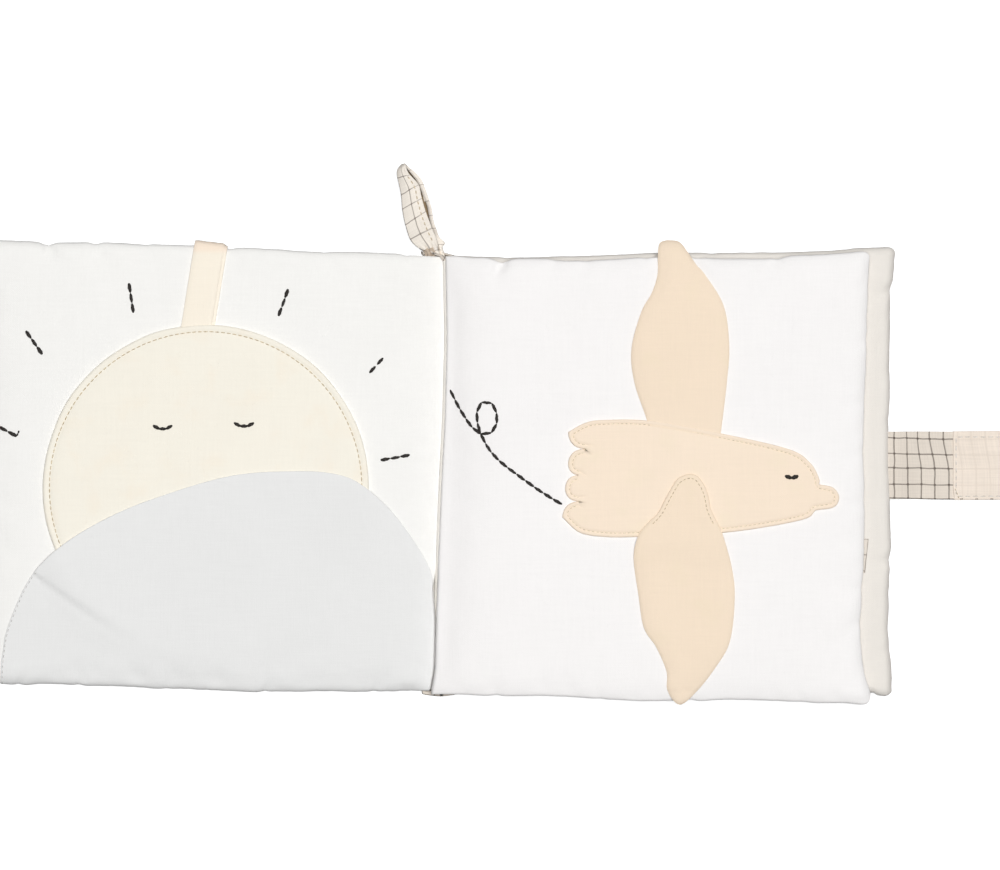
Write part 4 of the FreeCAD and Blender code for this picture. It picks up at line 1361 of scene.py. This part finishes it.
def strap_tape():
    low, high = node_box("strap_tape")
    x, y = flat_grid(low, high, (1.6, 1.4), STRAP_ENDS)
    lip = 0.12 * bump(np.minimum(x - low[0], high[0] - x) - 1.7, 0.8)
    askew = (0.9 + 0.5 * (1 - ease(y, -12, -4))) * (1 - ease(x, low[0], low[0] + 12))
    pulled = (y + strap_pull(x, y) - 4) * 1.012 + 4
    grid = np.stack([x + askew, pulled, 1.5 + strap_wave(x, y) - lip], -1)
    made = strip("strap_tape_cloth", grid, TAPE_THICKNESS, tape_cloth, "fastening_tape", "back",
                 ["strap_tape"], strap_uv(grid[..., 0], grid[..., 1]))

    def sewn(name, lines, pitch, fill, thread):
        sew(name, lines, lambda x, y: 1.87 + strap_wave(x, y), pitch, fill, 0.22, thread,
            "fastening_tape", "back")
    x0, x1, y0, y1 = low[0] + 2.2, high[0] - 1.3, low[1] + 1.5, high[1] - 3.0
    corners = [(x0, y0), (x1, y0), (x1, y1), (x0, y1), (x0, y0)]
    sewn("strap_stitching", zip(corners, corners[1:]), 3.4, 0.72, tape_thread)
    sewn("strap_corner_stitching", [[(low[0] + 1.6, low[1] + 5.2), (low[0] + 3.6, low[1] + 0.2)]],
         1.8, 0.6, pale_thread)
    edge = low[1] + 0.25
    sewn("strap_edge_stitching", [[(x, edge), (x + 1.4, edge)]
                                  for x in np.arange(low[0] + 3.9, high[0] - 3, 6.8)],
         1.4, 1.0, brown_thread)


strap_tape()


def cover_tape():
    """Mating tape on the front cover's outside."""
    size = tape_high - tape_low
    x, y = flat_grid(tape_low, tape_high, (1.5, 1.5))
    grid = np.stack([x, y, np.full(x.shape, size[2] / 2)], -1)
    made = strip("cover_tape_cloth", grid, size[2], tape_cloth, "fastening_tape", "front",
                 ["cover_tape"], grid[..., :2])


cover_tape()


def patch():
    """End of a checked patch between the page and the back cover.
    """
    low, high = node_box("grid_patch")
    x, y = flat_grid(low, high, (0.5, 0.8), (ENDS[:3], ENDS[:3]))
    slant = 0.55 + 1.5 * (high[1] - y) / (high[1] - low[1])
    grid = np.stack([x - slant, y, BACK.height(x, y) + 0.3], -1)
    strip("grid_patch_cloth", grid, PATCH_THICKNESS, patch_cloth, "grid_cloth", "back",
          ["grid_patch"], np.stack([x - low[0] + 0.9, 0.945 * (y + 29.0) + CHECK[1]], -1))


patch()


# ---- Floor, light and camera ----

WHITE = (1, 1, 1, 1)

s = new_shader("floor")
plain, dim = [s.add("BsdfDiffuse", {"Color": (grey, grey, grey, 1)})[0] for grey in (0.9, 0.1)]
glow = s.add("Emission", {"Color": WHITE, "Strength": 0.55})[0]
rays = s.add("LightPath", {})
seen = s.math("ADD", rays["Is Camera Ray"], rays["Is Glossy Ray"], rays["Is Transmission Ray"])
s.add("OutputMaterial", {"Surface": s.add("MixShader", {
    0: s.math("MINIMUM", 1.0, seen), 1: dim, 2: s.add("AddShader", {0: plain, 1: glow})[0]})[0]})
floor_mesh = bpy.data.meshes.new("stage_floor")
FLOOR_SIDE, FLOOR_HEIGHT = 3.0, -0.0003
floor_mesh.from_pydata([(x * FLOOR_SIDE, y * FLOOR_SIDE, FLOOR_HEIGHT)
                        for x, y in ((-1, -1), (1, -1), (1, 1), (-1, 1))], [], [(0, 1, 2, 3)])
floor_mesh.materials.append(s.owner)
floor = bpy.data.objects.new("stage_floor", floor_mesh)
bpy.context.scene.collection.objects.link(floor)

world = bpy.data.worlds.new("studio")
bpy.context.scene.world = world
s = Shader(world)
soft, white = [s.add("Background", {"Color": WHITE, "Strength": strength})[0]
               for strength in (0.13, 1.0)]
s.add("OutputWorld", {"Surface": s.add("MixShader", {
    0: s.add("LightPath", {})["Is Camera Ray"], 1: soft, 2: white})[0]})

lamp = bpy.data.lights.new("overhead", "AREA")
lamp.shape, lamp.size, lamp.energy = "DISK", 2.4, 156.0
overhead = bpy.data.objects.new("overhead", lamp)
overhead.location = (0.3, 0.35, 4.0)
aim = Vector((0.02, 0.0, 0.0)) - overhead.location
overhead.rotation_euler = aim.to_track_quat("-Z", "Y").to_euler()
bpy.context.scene.collection.objects.link(overhead)

SENSOR, CAMERA_HEIGHT, SUBJECT_DISTANCE, SUBJECT_WIDTH = 36.0, 2.0, 1.992, 0.4464
camera = bpy.data.cameras.new("camera")
camera.sensor_width = SENSOR
camera.lens = SENSOR * SUBJECT_DISTANCE / SUBJECT_WIDTH
camera.clip_end = 20
eye = bpy.data.objects.new("camera", camera)
eye.location = (0.0268, 0.0174, CAMERA_HEIGHT)
bpy.context.scene.collection.objects.link(eye)
bpy.context.scene.camera = eye
bpy.context.scene.view_settings.view_transform = "Standard"
